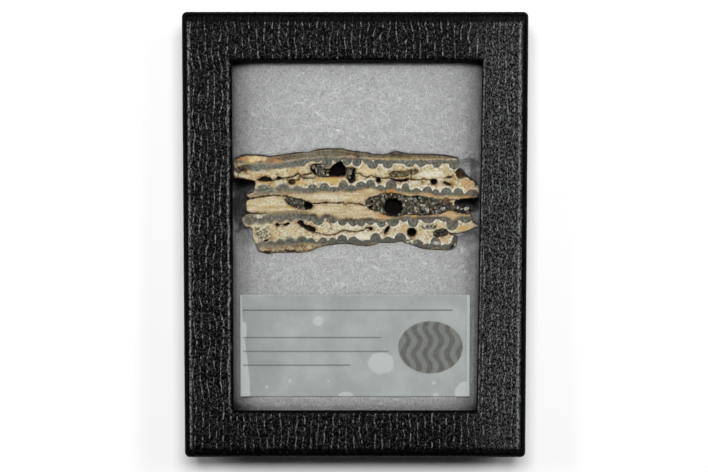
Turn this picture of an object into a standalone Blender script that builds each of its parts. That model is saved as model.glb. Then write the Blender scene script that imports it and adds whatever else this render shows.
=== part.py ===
"""A slice of mammoth molar in a small display case: a black card lid with a glass window, slipped over a card
tray that is filled with fibre batting. The case lies on its back. Metres, +Z up, +Y towards the case's top edge,
origin on the surface that it lies on, under the middle of the case."""

import math
import random

import bmesh
import bpy
from mathutils import Vector

MM = 0.001

# Case: 3 1/4 by 4 1/4 inches, 3/4 inch deep
CASE_WIDTH = 83.0 * MM
CASE_HEIGHT = 108.0 * MM
CASE_DEPTH = 19.0 * MM
CASE_ROUND = 1.8 * MM
CASE_ROUND_SEGMENTS = 5
GAP = 0.3 * MM

# Lid
LID_WALL = 1.6 * MM
LID_PANEL = 1.6 * MM
LID_RIM_Z = 2.6 * MM
CARD_EDGE_ROUND = 0.6 * MM
CARD_EDGE_SEGMENTS = 3
CARD_EDGE_ANGLE = math.radians(60)
WINDOW_LEFT = -29.5 * MM
WINDOW_RIGHT_AT_TOP = 30.5 * MM
WINDOW_RIGHT_AT_BOTTOM = 29.5 * MM
WINDOW_BOTTOM = -42.4 * MM
WINDOW_TOP = 42.3 * MM

# Glass pane
GLASS_THICKNESS = 2.0 * MM
GLASS_OVERLAP = 6.5 * MM

# Tray
TRAY_CLEARANCE = 0.4 * MM
TRAY_WALL = 1.3 * MM
TRAY_ROUND = 0.9 * MM
TRAY_ROUND_SEGMENTS = 4
TRAY_TOP_Z = 14.6 * MM

# Label
LABEL_WIDTH = 56.0 * MM
LABEL_HEIGHT = 25.0 * MM
LABEL_THICKNESS = 0.2 * MM
LABEL_MIDDLE_Y = -27.0 * MM

# Slice and batting
SLICE_THICKNESS = 5.2 * MM
SIDE_WEAR = 0.5 * MM
LEAST_WEAR_SHARE = 0.1
SIDE_WEAR_HEIGHTS = (0.0, 0.3, 0.65)
BATTING_SHOULDER = 2.5 * MM
BATTING_SHOULDER_SEGMENTS = 4
POCKET_MARGIN = 0.6 * MM
POCKET_ROUND = 2.0 * MM
POCKET_ROUND_SEGMENTS = 3

# Edges that bend by more than this stay sharp
SHARP_FROM = math.radians(40)
SOFT_SHARP_FROM = math.radians(50)
WELD_DISTANCE = 0.01 * MM

# Heights that follow from these
PANEL_UNDERSIDE_Z = CASE_DEPTH - LID_PANEL
GLASS_TOP_Z = PANEL_UNDERSIDE_Z - GAP
GLASS_UNDERSIDE_Z = GLASS_TOP_Z - GLASS_THICKNESS
SLICE_TOP_Z = GLASS_UNDERSIDE_Z - GAP
SLICE_UNDERSIDE_Z = SLICE_TOP_Z - SLICE_THICKNESS
LABEL_UNDERSIDE_Z = SLICE_TOP_Z - LABEL_THICKNESS
BATTING_TOP_Z = LABEL_UNDERSIDE_Z - GAP
BATTING_UNDERSIDE_Z = TRAY_WALL + GAP

# The slice's features are read by eye in the photograph's pixels. PIXEL is what one covers at the slice's face,
# and the pixel PHOTO_MIDDLE lies at SLICE_MIDDLE_Y on the case's centre line.
PIXEL = 0.2434 * MM
PHOTO_MIDDLE = (354.55, 200.0)
SLICE_MIDDLE_Y = 8.5 * MM

# The slice's outline, clockwise in the photograph from its upper left tip
OUTLINE = [
    (233.3, 158.8), (237.4, 157.1), (241.5, 155.3), (247.6, 154.3), (254.5, 154.5), (262.7, 154.9),
    (268.8, 155.9), (277.0, 155.3), (285.1, 154.1), (293.2, 152.7), (301.3, 151.8), (307.9, 152.2),
    (312.8, 150.4), (317.7, 149.0), (325.8, 148.6), (334.0, 148.4), (341.3, 148.5), (348.1, 150.2),
    (355.5, 151.0), (361.6, 152.0), (368.1, 152.7), (371.4, 154.3), (376.7, 153.9), (382.8, 154.3),
    (386.9, 154.1), (391.0, 151.6), (396.3, 151.0), (401.2, 152.2), (408.0, 153.6), (414.0, 153.6),
    (420.0, 153.9), (428.2, 154.3), (436.3, 154.1), (444.5, 154.9), (450.6, 156.3), (456.7, 157.6),
    (458.0, 162.9), (458.2, 167.8), (462.9, 170.2), (464.9, 173.9), (469.0, 178.0), (473.1, 180.8),
    (476.6, 184.5), (478.0, 189.0), (477.8, 193.5), (476.1, 196.8), (471.0, 197.8), (462.0, 198.3),
    (455.5, 199.4), (453.5, 202.5), (454.5, 206.0), (460.0, 205.4), (466.5, 205.6), (470.2, 208.3),
    (469.5, 212.0), (471.5, 215.4), (472.3, 221.0), (478.4, 225.2), (473.0, 227.4), (469.0, 229.6),
    (462.9, 232.0), (456.7, 233.4), (449.6, 233.6), (456.7, 236.0), (456.9, 239.5), (455.9, 243.2),
    (454.7, 246.6), (451.0, 249.3), (444.5, 249.7), (438.4, 249.2), (431.0, 248.8), (422.7, 248.4), (416.4, 246.0),
    (411.5, 244.4), (406.0, 242.6), (400.4, 240.7), (395.0, 242.0), (386.9, 242.3), (379.5, 242.0),
    (374.0, 244.2), (366.5, 245.5), (357.5, 245.0), (350.2, 243.3), (342.0, 242.9), (336.0, 243.6),
    (329.9, 244.6), (321.7, 245.6), (316.8, 247.4), (310.3, 250.6), (304.6, 251.1), (299.0, 252.3),
    (293.2, 251.9), (287.2, 251.5), (281.1, 251.9), (272.9, 252.4), (268.8, 253.6), (261.9, 252.3),
    (257.8, 250.3), (256.6, 246.2), (254.1, 240.9), (252.1, 236.8), (252.1, 230.7), (250.9, 227.8),
    (246.0, 226.2), (243.1, 224.2), (241.5, 220.5), (241.9, 216.4), (245.6, 214.0), (249.6, 212.3),
    (246.4, 209.9), (245.6, 206.2), (245.1, 203.3), (246.8, 199.3), (249.6, 197.4), (246.8, 196.3),
    (245.6, 193.5), (253.3, 191.4), (254.9, 184.9), (254.1, 181.2), (251.3, 179.6), (244.3, 178.8),
    (240.2, 178.4), (234.1, 177.6), (233.0, 172.7), (234.4, 168.6), (233.4, 163.8),
]

# Hollows with a shape of their own: outline, clockwise in the photograph, and depth
HOLLOWS = {
    "dome": ([
        (328.2, 176.0), (328.7, 172.0), (330.6, 167.0), (334.0, 163.6), (337.0, 162.2), (340.6, 160.9),
        (342.4, 163.0), (344.8, 166.6), (345.9, 170.0), (345.6, 174.4), (343.6, 175.9), (336.0, 176.5),
    ], 4.3 * MM),
    "upper_left": ([
        (309.6, 168.0), (311.0, 164.5), (316.0, 163.0), (319.5, 163.6), (321.0, 161.9), (322.0, 166.3),
        (326.0, 168.6), (330.5, 168.0), (330.5, 176.2), (325.0, 176.7), (319.0, 176.3), (315.5, 174.0),
        (311.5, 172.0),
    ], 1.9 * MM),
    "upper_right": ([
        (345.5, 167.5), (353.0, 166.8), (355.3, 168.5), (355.0, 175.0), (354.5, 180.0), (351.5, 183.0),
        (348.5, 181.5), (345.5, 175.5),
    ], 1.9 * MM),
    "middle_left": ([
        (284.0, 198.5), (288.5, 196.5), (295.0, 197.8), (301.0, 198.3), (307.0, 200.5), (311.5, 202.5),
        (313.2, 205.0), (311.0, 208.0), (306.5, 209.5), (301.0, 208.8), (294.0, 207.5), (288.0, 204.0),
    ], 1.9 * MM),
    "great": ([
        (365.5, 199.5), (368.0, 197.0), (372.0, 196.5), (376.0, 194.5), (382.0, 192.8), (390.0, 192.0),
        (398.0, 193.0), (404.0, 195.0), (410.0, 196.0), (416.0, 194.6), (423.0, 195.8), (430.0, 197.2),
        (438.0, 198.8), (445.0, 200.2), (450.0, 202.8), (452.2, 205.6), (457.0, 203.6), (473.0, 203.0),
        (473.0, 212.6), (465.5, 213.6), (459.0, 212.9), (452.0, 210.2), (446.0, 210.9), (440.0, 213.2),
        (430.0, 214.6), (420.0, 215.0), (411.0, 214.2), (404.0, 214.5), (398.0, 216.0), (390.0, 216.0),
        (383.0, 214.5), (378.0, 211.5), (372.0, 209.8), (367.0, 207.5), (365.2, 203.5),
    ], 2.2 * MM),
    "oval": ([
        (296.5, 222.5), (299.5, 219.5), (302.5, 220.5), (304.0, 223.5), (309.0, 224.8), (313.0, 226.5),
        (316.0, 229.3), (314.5, 231.6), (309.0, 231.5), (305.0, 229.0), (301.5, 226.5), (298.5, 224.0),
    ], 1.6 * MM),
    "tongue": ([
        (388.3, 173.5), (391.5, 170.8), (397.0, 170.8), (404.0, 171.3), (409.0, 169.4), (415.0, 169.0),
        (418.6, 170.8), (416.0, 173.0), (410.5, 174.0), (405.0, 176.0), (399.5, 176.6), (394.0, 177.3),
        (389.5, 176.5),
    ], 1.3 * MM),
    "under_tongue": ([
        (391.0, 179.0), (396.0, 178.5), (402.0, 178.9), (407.5, 178.2), (408.3, 179.8), (405.5, 181.5),
        (399.0, 181.6), (394.0, 181.2),
    ], 1.4 * MM),
    "right_end": ([
        (453.6, 171.5), (456.5, 169.0), (461.0, 167.0), (467.5, 170.0), (468.5, 176.8), (463.0, 177.5),
        (458.2, 178.2), (455.2, 175.6),
    ], 1.6 * MM),
    "lower_right": ([
        (431.5, 231.5), (436.0, 229.2), (441.0, 228.3), (445.5, 229.0), (447.5, 231.2), (447.0, 233.6),
        (441.5, 236.2), (437.0, 237.0), (433.5, 235.5),
    ], 1.6 * MM),
    "left_crack": ([
        (256.0, 179.5), (260.0, 177.0), (264.5, 175.6), (269.0, 176.8), (272.5, 179.5), (270.0, 181.3),
        (264.0, 181.0), (259.0, 180.8),
    ], 1.2 * MM),
}

# Round and oval holes: middle, half length, half width, turn in degrees anticlockwise, and depth
HOLES = [
    ((308.0, 205.2), 3.8, 3.3, 0, 3.8 * MM),
    ((392.6, 206.2), 9.3, 8.6, 0, 4.4 * MM),
    ((411.2, 232.0), 4.5, 4.4, 0, 4.3 * MM),
    ((377.9, 180.0), 2.5, 2.3, 0, 2.2 * MM),
    ((432.9, 181.4), 3.3, 2.7, 20, 2.0 * MM),
    ((446.0, 183.1), 4.6, 1.6, -22, 1.2 * MM),
    ((448.3, 176.8), 3.0, 1.2, 8, 0.8 * MM),
    ((278.6, 177.6), 2.3, 1.6, 0, 1.2 * MM),
    ((291.5, 181.6), 3.7, 2.8, 0, 1.4 * MM),
    ((277.0, 224.3), 1.8, 1.5, 0, 1.6 * MM),
    ((286.4, 223.9), 3.2, 1.2, 20, 1.6 * MM),
    ((370.2, 228.2), 1.8, 1.6, 0, 1.8 * MM),
    ((386.2, 229.4), 4.8, 1.7, 56, 1.8 * MM),
    ((261.0, 231.6), 2.8, 1.0, 60, 0.9 * MM),
    ((265.4, 228.0), 2.4, 0.9, -10, 0.6 * MM),
    ((265.6, 240.0), 2.8, 1.0, 15, 0.9 * MM),
    ((255.8, 237.4), 1.3, 2.4, 0, 1.0 * MM),
    ((426.4, 226.4), 1.6, 1.1, 0, 0.5 * MM),
    ((430.4, 226.0), 1.2, 1.1, 0, 0.5 * MM),
    ((434.0, 226.2), 1.2, 1.1, 0, 0.5 * MM),
    ((451.6, 246.0), 2.6, 0.9, 45, 0.9 * MM),
]
HOLE_POINTS = 14

# Crust in the hollows: which hollow, and how far its top lies under the polished face
CRUSTS = {
    "upper_left": 0.7 * MM,
    "upper_right": 0.8 * MM,
    "middle_left": 0.6 * MM,
    "great": 0.35 * MM,
    "tongue": 0.35 * MM,
    "lower_right": 0.6 * MM,
}
# Where a hole goes down through the crust, by its place in HOLES
HOLES_IN_CRUST = (0, 1)
CRUST_LUMP = 0.3 * MM
CRUST_STEP = 0.65 * MM
CRUST_JITTER = 0.2 * CRUST_STEP
CRUST_MARGIN = 0.4 * MM
CRUST_HOLE_MARGIN = 0.1 * MM
SHEET_MARGIN = 1.5 * CRUST_STEP
# The great hollow is open at the slice's right end, and its crust ends inside that
GREAT_CRUST_END = 469.5
GREAT_CRUST_TOP = 206.2

BLACK = (0.012, 0.012, 0.013)
MATERIALS = {
    "lid": (BLACK, 0.45),
    "tray": (BLACK, 0.5),
    "glass_pane": ((1.0, 1.0, 1.0), 0.02),
    "batting": ((0.62, 0.62, 0.62), 0.95),
    "label": ((0.42, 0.43, 0.42), 0.5),
    "molar_slice": ((0.6, 0.5, 0.33), 0.25),
    "mineral_crust": ((0.11, 0.1, 0.08), 0.7),
}


def clear_scene():
    for obj in list(bpy.data.objects):
        bpy.data.objects.remove(obj)


def add_collection(name):
    made = bpy.data.collections.new(name)
    bpy.context.scene.collection.children.link(made)
    return made


def make_material(name):
    colour, roughness = MATERIALS[name]
    made = bpy.data.materials.new(name)
    made.use_nodes = True
    shader = made.node_tree.nodes["Principled BSDF"]
    shader.inputs["Base Color"].default_value = (*colour, 1.0)
    shader.inputs["Roughness"].default_value = roughness
    shader.inputs["Metallic"].default_value = 0.0
    if name == "glass_pane":
        shader.inputs["Transmission Weight"].default_value = 1.0
    return made


def put_in(obj, collection):
    for home in list(obj.users_collection):
        home.objects.unlink(obj)
    collection.objects.link(obj)


def hide_cutter(cutter):
    cutter.hide_render = True
    cutter.display_type = "WIRE"


def grown(bounds, by):
    """bounds is left, right, bottom and top."""
    left, right, bottom, top = bounds
    return left - by, right + by, bottom - by, top + by


def case_bounds():
    return -CASE_WIDTH / 2, CASE_WIDTH / 2, -CASE_HEIGHT / 2, CASE_HEIGHT / 2


def tray_bounds():
    return grown(case_bounds(), -LID_WALL - TRAY_CLEARANCE)


def window_bounds():
    return WINDOW_LEFT, WINDOW_RIGHT_AT_TOP, WINDOW_BOTTOM, WINDOW_TOP


def add_box(name, bounds, low_z, high_z, collection):
    left, right, bottom, top = bounds
    middle = ((left + right) / 2, (bottom + top) / 2, (low_z + high_z) / 2)
    bpy.ops.mesh.primitive_cube_add(size=1, location=middle)
    box = bpy.context.object
    box.name = box.data.name = name
    box.scale = (right - left, top - bottom, high_z - low_z)
    bpy.ops.object.transform_apply(location=False, rotation=False, scale=True)
    put_in(box, collection)
    return box


def is_upright(edge):
    a, b = edge.verts
    return abs(a.co.z - b.co.z) > 0


def is_upper(edge):
    return min(vertex.co.z for vertex in edge.verts) > 0


def is_lower(edge):
    return max(vertex.co.z for vertex in edge.verts) < 0


def round_box(box, radius, segments, *kinds):
    """Rounds the box's edges of the kinds given."""
    bm = bmesh.new()
    bm.from_mesh(box.data)
    edges = [edge for edge in bm.edges if any(kind(edge) for kind in kinds)]
    bmesh.ops.bevel(bm, geom=edges, offset=radius, offset_type="OFFSET", segments=segments,
                    profile=0.5, affect="EDGES")
    bm.to_mesh(box.data)
    bm.free()


def add_boolean(obj, operation, tool):
    cut = obj.modifiers.new(tool.name, "BOOLEAN")
    cut.operation = operation
    cut.solver = "EXACT"
    if isinstance(tool, bpy.types.Collection):
        cut.operand_type = "COLLECTION"
        cut.collection = tool
    else:
        cut.object = tool
    return cut


def shade(obj, angle):
    obj.data.shade_smooth()
    obj.data.set_sharp_from_angle(angle=angle)


def make_lid(collection, cutters):
    """A card box, open below, with a window in its face and paper turned over all its edges."""
    lid = add_box("lid", case_bounds(), LID_RIM_Z, CASE_DEPTH, collection)
    round_box(lid, CASE_ROUND, CASE_ROUND_SEGMENTS, is_upright, is_upper)
    lid.data.materials.append(make_material("lid"))
    inside = add_box("lid_inside", grown(case_bounds(), -LID_WALL), -LID_WALL, PANEL_UNDERSIDE_Z, cutters)
    window = add_box("window", window_bounds(), PANEL_UNDERSIDE_Z - LID_WALL, CASE_DEPTH + LID_WALL, cutters)
    lean = WINDOW_RIGHT_AT_TOP - WINDOW_RIGHT_AT_BOTTOM
    for vertex in window.data.vertices:
        if vertex.co.x > 0 and vertex.co.y < 0:
            vertex.co.x -= lean
    for cutter in (inside, window):
        hide_cutter(cutter)
        add_boolean(lid, "DIFFERENCE", cutter)
    edges = lid.modifiers.new("turned_edges", "BEVEL")
    edges.width = CARD_EDGE_ROUND
    edges.segments = CARD_EDGE_SEGMENTS
    edges.limit_method = "ANGLE"
    edges.angle_limit = CARD_EDGE_ANGLE
    shade(lid, SHARP_FROM)


def make_tray(collection, cutters):
    tray = add_box("tray", tray_bounds(), 0.0, TRAY_TOP_Z, collection)
    round_box(tray, TRAY_ROUND, TRAY_ROUND_SEGMENTS, is_upright, is_lower)
    tray.data.materials.append(make_material("tray"))
    inside = add_box("tray_inside", grown(tray_bounds(), -TRAY_WALL), TRAY_WALL, CASE_DEPTH, cutters)
    hide_cutter(inside)
    add_boolean(tray, "DIFFERENCE", inside)
    shade(tray, SHARP_FROM)


def make_glass(collection):
    pane = add_box("glass_pane", grown(window_bounds(), GLASS_OVERLAP), GLASS_UNDERSIDE_Z, GLASS_TOP_Z,
                   collection)
    pane.data.materials.append(make_material("glass_pane"))


def make_batting(collection, cutters):
    """A pad that fills the tray, with soft shoulders and a pocket for the slice."""
    pad = add_box("batting", grown(tray_bounds(), -TRAY_WALL - GAP), BATTING_UNDERSIDE_Z, BATTING_TOP_Z,
                  collection)
    round_box(pad, BATTING_SHOULDER, BATTING_SHOULDER_SEGMENTS, is_upright, is_upper)
    pad.data.materials.append(make_material("batting"))
    pocket = add_box("pocket", grown(slice_bounds(), POCKET_MARGIN), SLICE_UNDERSIDE_Z - GAP, CASE_DEPTH,
                     cutters)
    round_box(pocket, POCKET_ROUND, POCKET_ROUND_SEGMENTS, is_upright)
    hide_cutter(pocket)
    add_boolean(pad, "DIFFERENCE", pocket)
    shade(pad, SOFT_SHARP_FROM)


def make_label(collection):
    bounds = (-LABEL_WIDTH / 2, LABEL_WIDTH / 2,
              LABEL_MIDDLE_Y - LABEL_HEIGHT / 2, LABEL_MIDDLE_Y + LABEL_HEIGHT / 2)
    label = add_box("label", bounds, LABEL_UNDERSIDE_Z, LABEL_UNDERSIDE_Z + LABEL_THICKNESS, collection)
    label.data.materials.append(make_material("label"))


def on_slice(pixel):
    """Where a pixel of the photograph lies on the slice's face, as x and y."""
    x = (pixel[0] - PHOTO_MIDDLE[0]) * PIXEL
    y = SLICE_MIDDLE_Y + (PHOTO_MIDDLE[1] - pixel[1]) * PIXEL
    return Vector((x, y))


def slice_bounds():
    points = [on_slice(pixel) for pixel in OUTLINE]
    xs = [point.x for point in points]
    ys = [point.y for point in points]
    return min(xs), max(xs), min(ys), max(ys)


def moved_in(points, by):
    """A clockwise outline with each point moved towards the inside."""
    moved = []
    for i, point in enumerate(points):
        along = (points[(i + 1) % len(points)] - points[i - 1]).normalized()
        moved.append(point + Vector((along.y, -along.x)) * by)
    return moved


def add_slab(name, points, low_z, high_z, collection):
    """A flat outline, extruded from low_z to high_z, as a mesh."""
    outline = bpy.data.curves.new(name, "CURVE")
    outline.dimensions = "2D"
    outline.fill_mode = "BOTH"
    outline.extrude = (high_z - low_z) / 2
    spline = outline.splines.new("POLY")
    spline.points.add(len(points) - 1)
    for spot, point in zip(spline.points, points):
        spot.co = (point.x, point.y, 0, 1)
    spline.use_cyclic_u = True
    guide = bpy.data.objects.new(name + "_outline", outline)
    guide.location.z = (low_z + high_z) / 2
    collection.objects.link(guide)
    bpy.context.view_layer.update()
    mesh = bpy.data.meshes.new_from_object(guide.evaluated_get(bpy.context.evaluated_depsgraph_get()))
    mesh.name = name
    bm = bmesh.new()
    bm.from_mesh(mesh)
    bmesh.ops.remove_doubles(bm, verts=bm.verts, dist=WELD_DISTANCE)
    bmesh.ops.recalc_face_normals(bm, faces=bm.faces)
    bm.to_mesh(mesh)
    bm.free()
    slab = bpy.data.objects.new(name, mesh)
    slab.matrix_world = guide.matrix_world
    collection.objects.link(slab)
    bpy.data.objects.remove(guide)
    return slab


def wear_sides(slab, thickness):
    """Breaks the sides below the polished face: rings of points, each moved in by its own amount."""
    chance = random.Random(3)
    bm = bmesh.new()
    bm.from_mesh(slab.data)
    rings = [-thickness / 2 + share * thickness for share in SIDE_WEAR_HEIGHTS]
    for z in rings[1:]:
        everything = bm.verts[:] + bm.edges[:] + bm.faces[:]
        bmesh.ops.bisect_plane(bm, geom=everything, plane_co=(0, 0, z), plane_no=(0, 0, 1))
    bm.normal_update()
    moves = []
    for vertex in bm.verts:
        if vertex.co.z < thickness / 2 - WELD_DISTANCE:
            outward = Vector((vertex.normal.x, vertex.normal.y, 0)).normalized()
            moves.append((vertex, outward * chance.uniform(LEAST_WEAR_SHARE, 1) * SIDE_WEAR))
    for vertex, move in moves:
        vertex.co -= move
    bm.to_mesh(slab.data)
    bm.free()


def add_round_cutter(name, hole, wider, cutters):
    (x, y), length, width, turn, depth = hole
    middle = on_slice((x, y))
    top_z = SLICE_TOP_Z + GAP
    low_z = SLICE_TOP_Z - depth
    bpy.ops.mesh.primitive_cylinder_add(vertices=HOLE_POINTS, radius=1, depth=top_z - low_z,
                                        location=(middle.x, middle.y, (top_z + low_z) / 2),
                                        rotation=(0, 0, math.radians(turn)))
    cutter = bpy.context.object
    cutter.name = cutter.data.name = name
    cutter.scale = (length * PIXEL + wider, width * PIXEL + wider, 1)
    bpy.ops.object.transform_apply(location=False, rotation=False, scale=True)
    hide_cutter(cutter)
    put_in(cutter, cutters)


def make_slice(collection, cutters):
    """A sawn slab with a polished face, broken sides and hollows in its face."""
    outline = [on_slice(pixel) for pixel in OUTLINE]
    slab = add_slab("molar_slice", outline, SLICE_UNDERSIDE_Z, SLICE_TOP_Z, collection)
    wear_sides(slab, SLICE_THICKNESS)
    slab.data.materials.append(make_material("molar_slice"))
    for name, (pixels, depth) in HOLLOWS.items():
        points = [on_slice(pixel) for pixel in pixels]
        hide_cutter(add_slab("hollow_" + name, points, SLICE_TOP_Z - depth, SLICE_TOP_Z + GAP, cutters))
    for i, hole in enumerate(HOLES):
        add_round_cutter(f"hole_{i}", hole, 0.0, cutters)
    add_boolean(slab, "DIFFERENCE", cutters)


def make_crusts(collection, cutters, holes):
    """In each hollow that has a crust: a lumpy sheet, cut to the hollow's outline and round the deep holes."""
    chance = random.Random(11)
    for i in HOLES_IN_CRUST:
        add_round_cutter(f"crust_hole_{i}", HOLES[i], CRUST_HOLE_MARGIN, holes)
    dome, depth = HOLLOWS["dome"]
    points = moved_in([on_slice(pixel) for pixel in dome], -CRUST_HOLE_MARGIN)
    hide_cutter(add_slab("crust_dome", points, SLICE_TOP_Z - depth, SLICE_TOP_Z + GAP, holes))
    shared = make_material("mineral_crust")
    for name, sunk in CRUSTS.items():
        pixels, depth = HOLLOWS[name]
        if name == "great":
            pixels = [(min(x, GREAT_CRUST_END), max(y, GREAT_CRUST_TOP) if x > GREAT_CRUST_END else y)
                      for x, y in pixels]
        points = moved_in([on_slice(pixel) for pixel in pixels], CRUST_MARGIN)
        floor_z = SLICE_TOP_Z - depth + GAP
        middle_z = SLICE_TOP_Z - sunk - CRUST_LUMP
        crust = add_lumpy_sheet("crust_" + name, points, floor_z - depth, middle_z, collection, chance)
        crust.data.materials.append(shared)
        edge = add_slab("crust_edge_" + name, points, floor_z, SLICE_TOP_Z + GAP, cutters)
        hide_cutter(edge)
        add_boolean(crust, "INTERSECT", edge)
        add_boolean(crust, "DIFFERENCE", holes)


def add_lumpy_sheet(name, points, low_z, middle_z, collection, chance):
    """A grid over the outline with lumps of random height, extruded down to low_z."""
    xs = [point.x for point in points]
    ys = [point.y for point in points]
    width = max(xs) - min(xs) + 2 * SHEET_MARGIN
    height = max(ys) - min(ys) + 2 * SHEET_MARGIN
    bpy.ops.mesh.primitive_grid_add(x_subdivisions=round(width / CRUST_STEP),
                                    y_subdivisions=round(height / CRUST_STEP), size=1,
                                    location=((max(xs) + min(xs)) / 2, (max(ys) + min(ys)) / 2, middle_z))
    sheet = bpy.context.object
    sheet.name = sheet.data.name = name
    sheet.scale = (width, height, 1)
    bpy.ops.object.transform_apply(location=False, rotation=False, scale=True)
    put_in(sheet, collection)
    bm = bmesh.new()
    bm.from_mesh(sheet.data)
    for vertex in bm.verts:
        vertex.co.x += chance.uniform(-1, 1) * CRUST_JITTER
        vertex.co.y += chance.uniform(-1, 1) * CRUST_JITTER
        vertex.co.z += chance.uniform(-1, 1) * CRUST_LUMP
    bmesh.ops.triangulate(bm, faces=bm.faces)
    lowered = bmesh.ops.extrude_face_region(bm, geom=bm.faces[:])
    for part in lowered["geom"]:
        if isinstance(part, bmesh.types.BMVert):
            part.co.z = low_z - middle_z
    bmesh.ops.recalc_face_normals(bm, faces=bm.faces)
    bm.to_mesh(sheet.data)
    bm.free()
    return sheet


def main():
    clear_scene()
    case = add_collection("mammoth_molar_slice")
    case_cutters = add_collection("case_cutters")
    slice_cutters = add_collection("slice_cutters")
    crust_cutters = add_collection("crust_cutters")
    crust_holes = add_collection("crust_holes")
    make_lid(case, case_cutters)
    make_tray(case, case_cutters)
    make_batting(case, case_cutters)
    make_glass(case)
    make_label(case)
    make_slice(case, slice_cutters)
    make_crusts(case, crust_cutters, crust_holes)


main()
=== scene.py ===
"""The looks of the case with the mammoth molar slice: lid and tray in black leather-grain paper, a glass
pane, fibre batting, a label, and the polished slice with its enamel bands, cracks, stains and crystal-lined
hollows. Metres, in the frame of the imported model: +Z out of the window, +Y towards the case's top edge."""

import math

import bpy
import numpy as np
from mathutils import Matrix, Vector


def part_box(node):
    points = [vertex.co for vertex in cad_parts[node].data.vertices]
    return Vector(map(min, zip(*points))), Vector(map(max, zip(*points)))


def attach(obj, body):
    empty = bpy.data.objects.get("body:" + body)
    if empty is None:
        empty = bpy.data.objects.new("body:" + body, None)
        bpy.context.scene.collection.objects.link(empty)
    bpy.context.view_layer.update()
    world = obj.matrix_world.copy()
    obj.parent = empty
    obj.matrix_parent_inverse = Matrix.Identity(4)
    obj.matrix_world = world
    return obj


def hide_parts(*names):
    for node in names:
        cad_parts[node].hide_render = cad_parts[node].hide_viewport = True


MM = 0.001

# Camera: above the case, leaning a little towards its top edge
CAMERA_DISTANCE = 0.5
CAMERA_LEAN = math.radians(5.0)
CAMERA_LENS = 105.6
CAMERA_TARGET = (-0.27 * MM, 0.27 * MM, 19.0 * MM)

# Soft boxes: lean to the side and towards the case's top edge in degrees, size, and light on the floor
SOFT_BOXES = {
    "key_box": (0, 17.5, (0.4, 0.2), 0.85),
    "left_box": (-41, 22, (0.35, 0.3), 0.145),
    "right_box": (37, 22, (0.35, 0.3), 0.185),
}
# Half the floor's side, the room's own light, and how bright the room looks where no floor shows
FLOOR_HALF = 0.6
ROOM_LIGHT = 0.02
ROOM_SEEN = 0.65

# The slice's features are read in the photograph's pixels. PIXEL is what one covers at the slice's
# face, and the pixel PHOTO_MIDDLE lies at SLICE_MIDDLE_Y on the case's centre line.
PIXEL = 0.2434 * MM
PHOTO_MIDDLE = (355.05, 200.5)
SLICE_MIDDLE_Y = 8.5 * MM

# Lid. The window is left, right, bottom and top, and its right side leans in towards the bottom
CASE_WIDTH = 83 * MM
CASE_LENGTH = 108 * MM
CORNER_POINTS = 7
LID_ROUND = 1.8 * MM
LID_CORNER = 1.25 * MM
LEAST_CORNER = 0.15 * MM
LID_LIP = 1.1 * MM
LID_PANEL = 1.6 * MM
LID_WALL = 1.6 * MM
LID_FOLD = 0.5 * MM
WINDOW = (-29.5 * MM, 30.5 * MM, -42.4 * MM, 42.3 * MM)
WINDOW_LEAN = 1.0 * MM
WINDOW_CORNER = 0.35 * MM
# The paper's grain: distance between mesh points, depth, and millimetres between ridges. Its painted glints
# turn to brighter painted grit on the right and fade towards both ends, over these distances from the middle
GRAIN_STEP = 0.34 * MM
GRAIN_DEPTH = 0.1 * MM
GRAIN_SPACING = 1.75
RIGHT_SHEEN_FROM = (24 * MM, 34 * MM)
FAINT_FROM = (38 * MM, 50 * MM)
TOP_ROWS = 42
WALL_ROWS = 12

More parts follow.
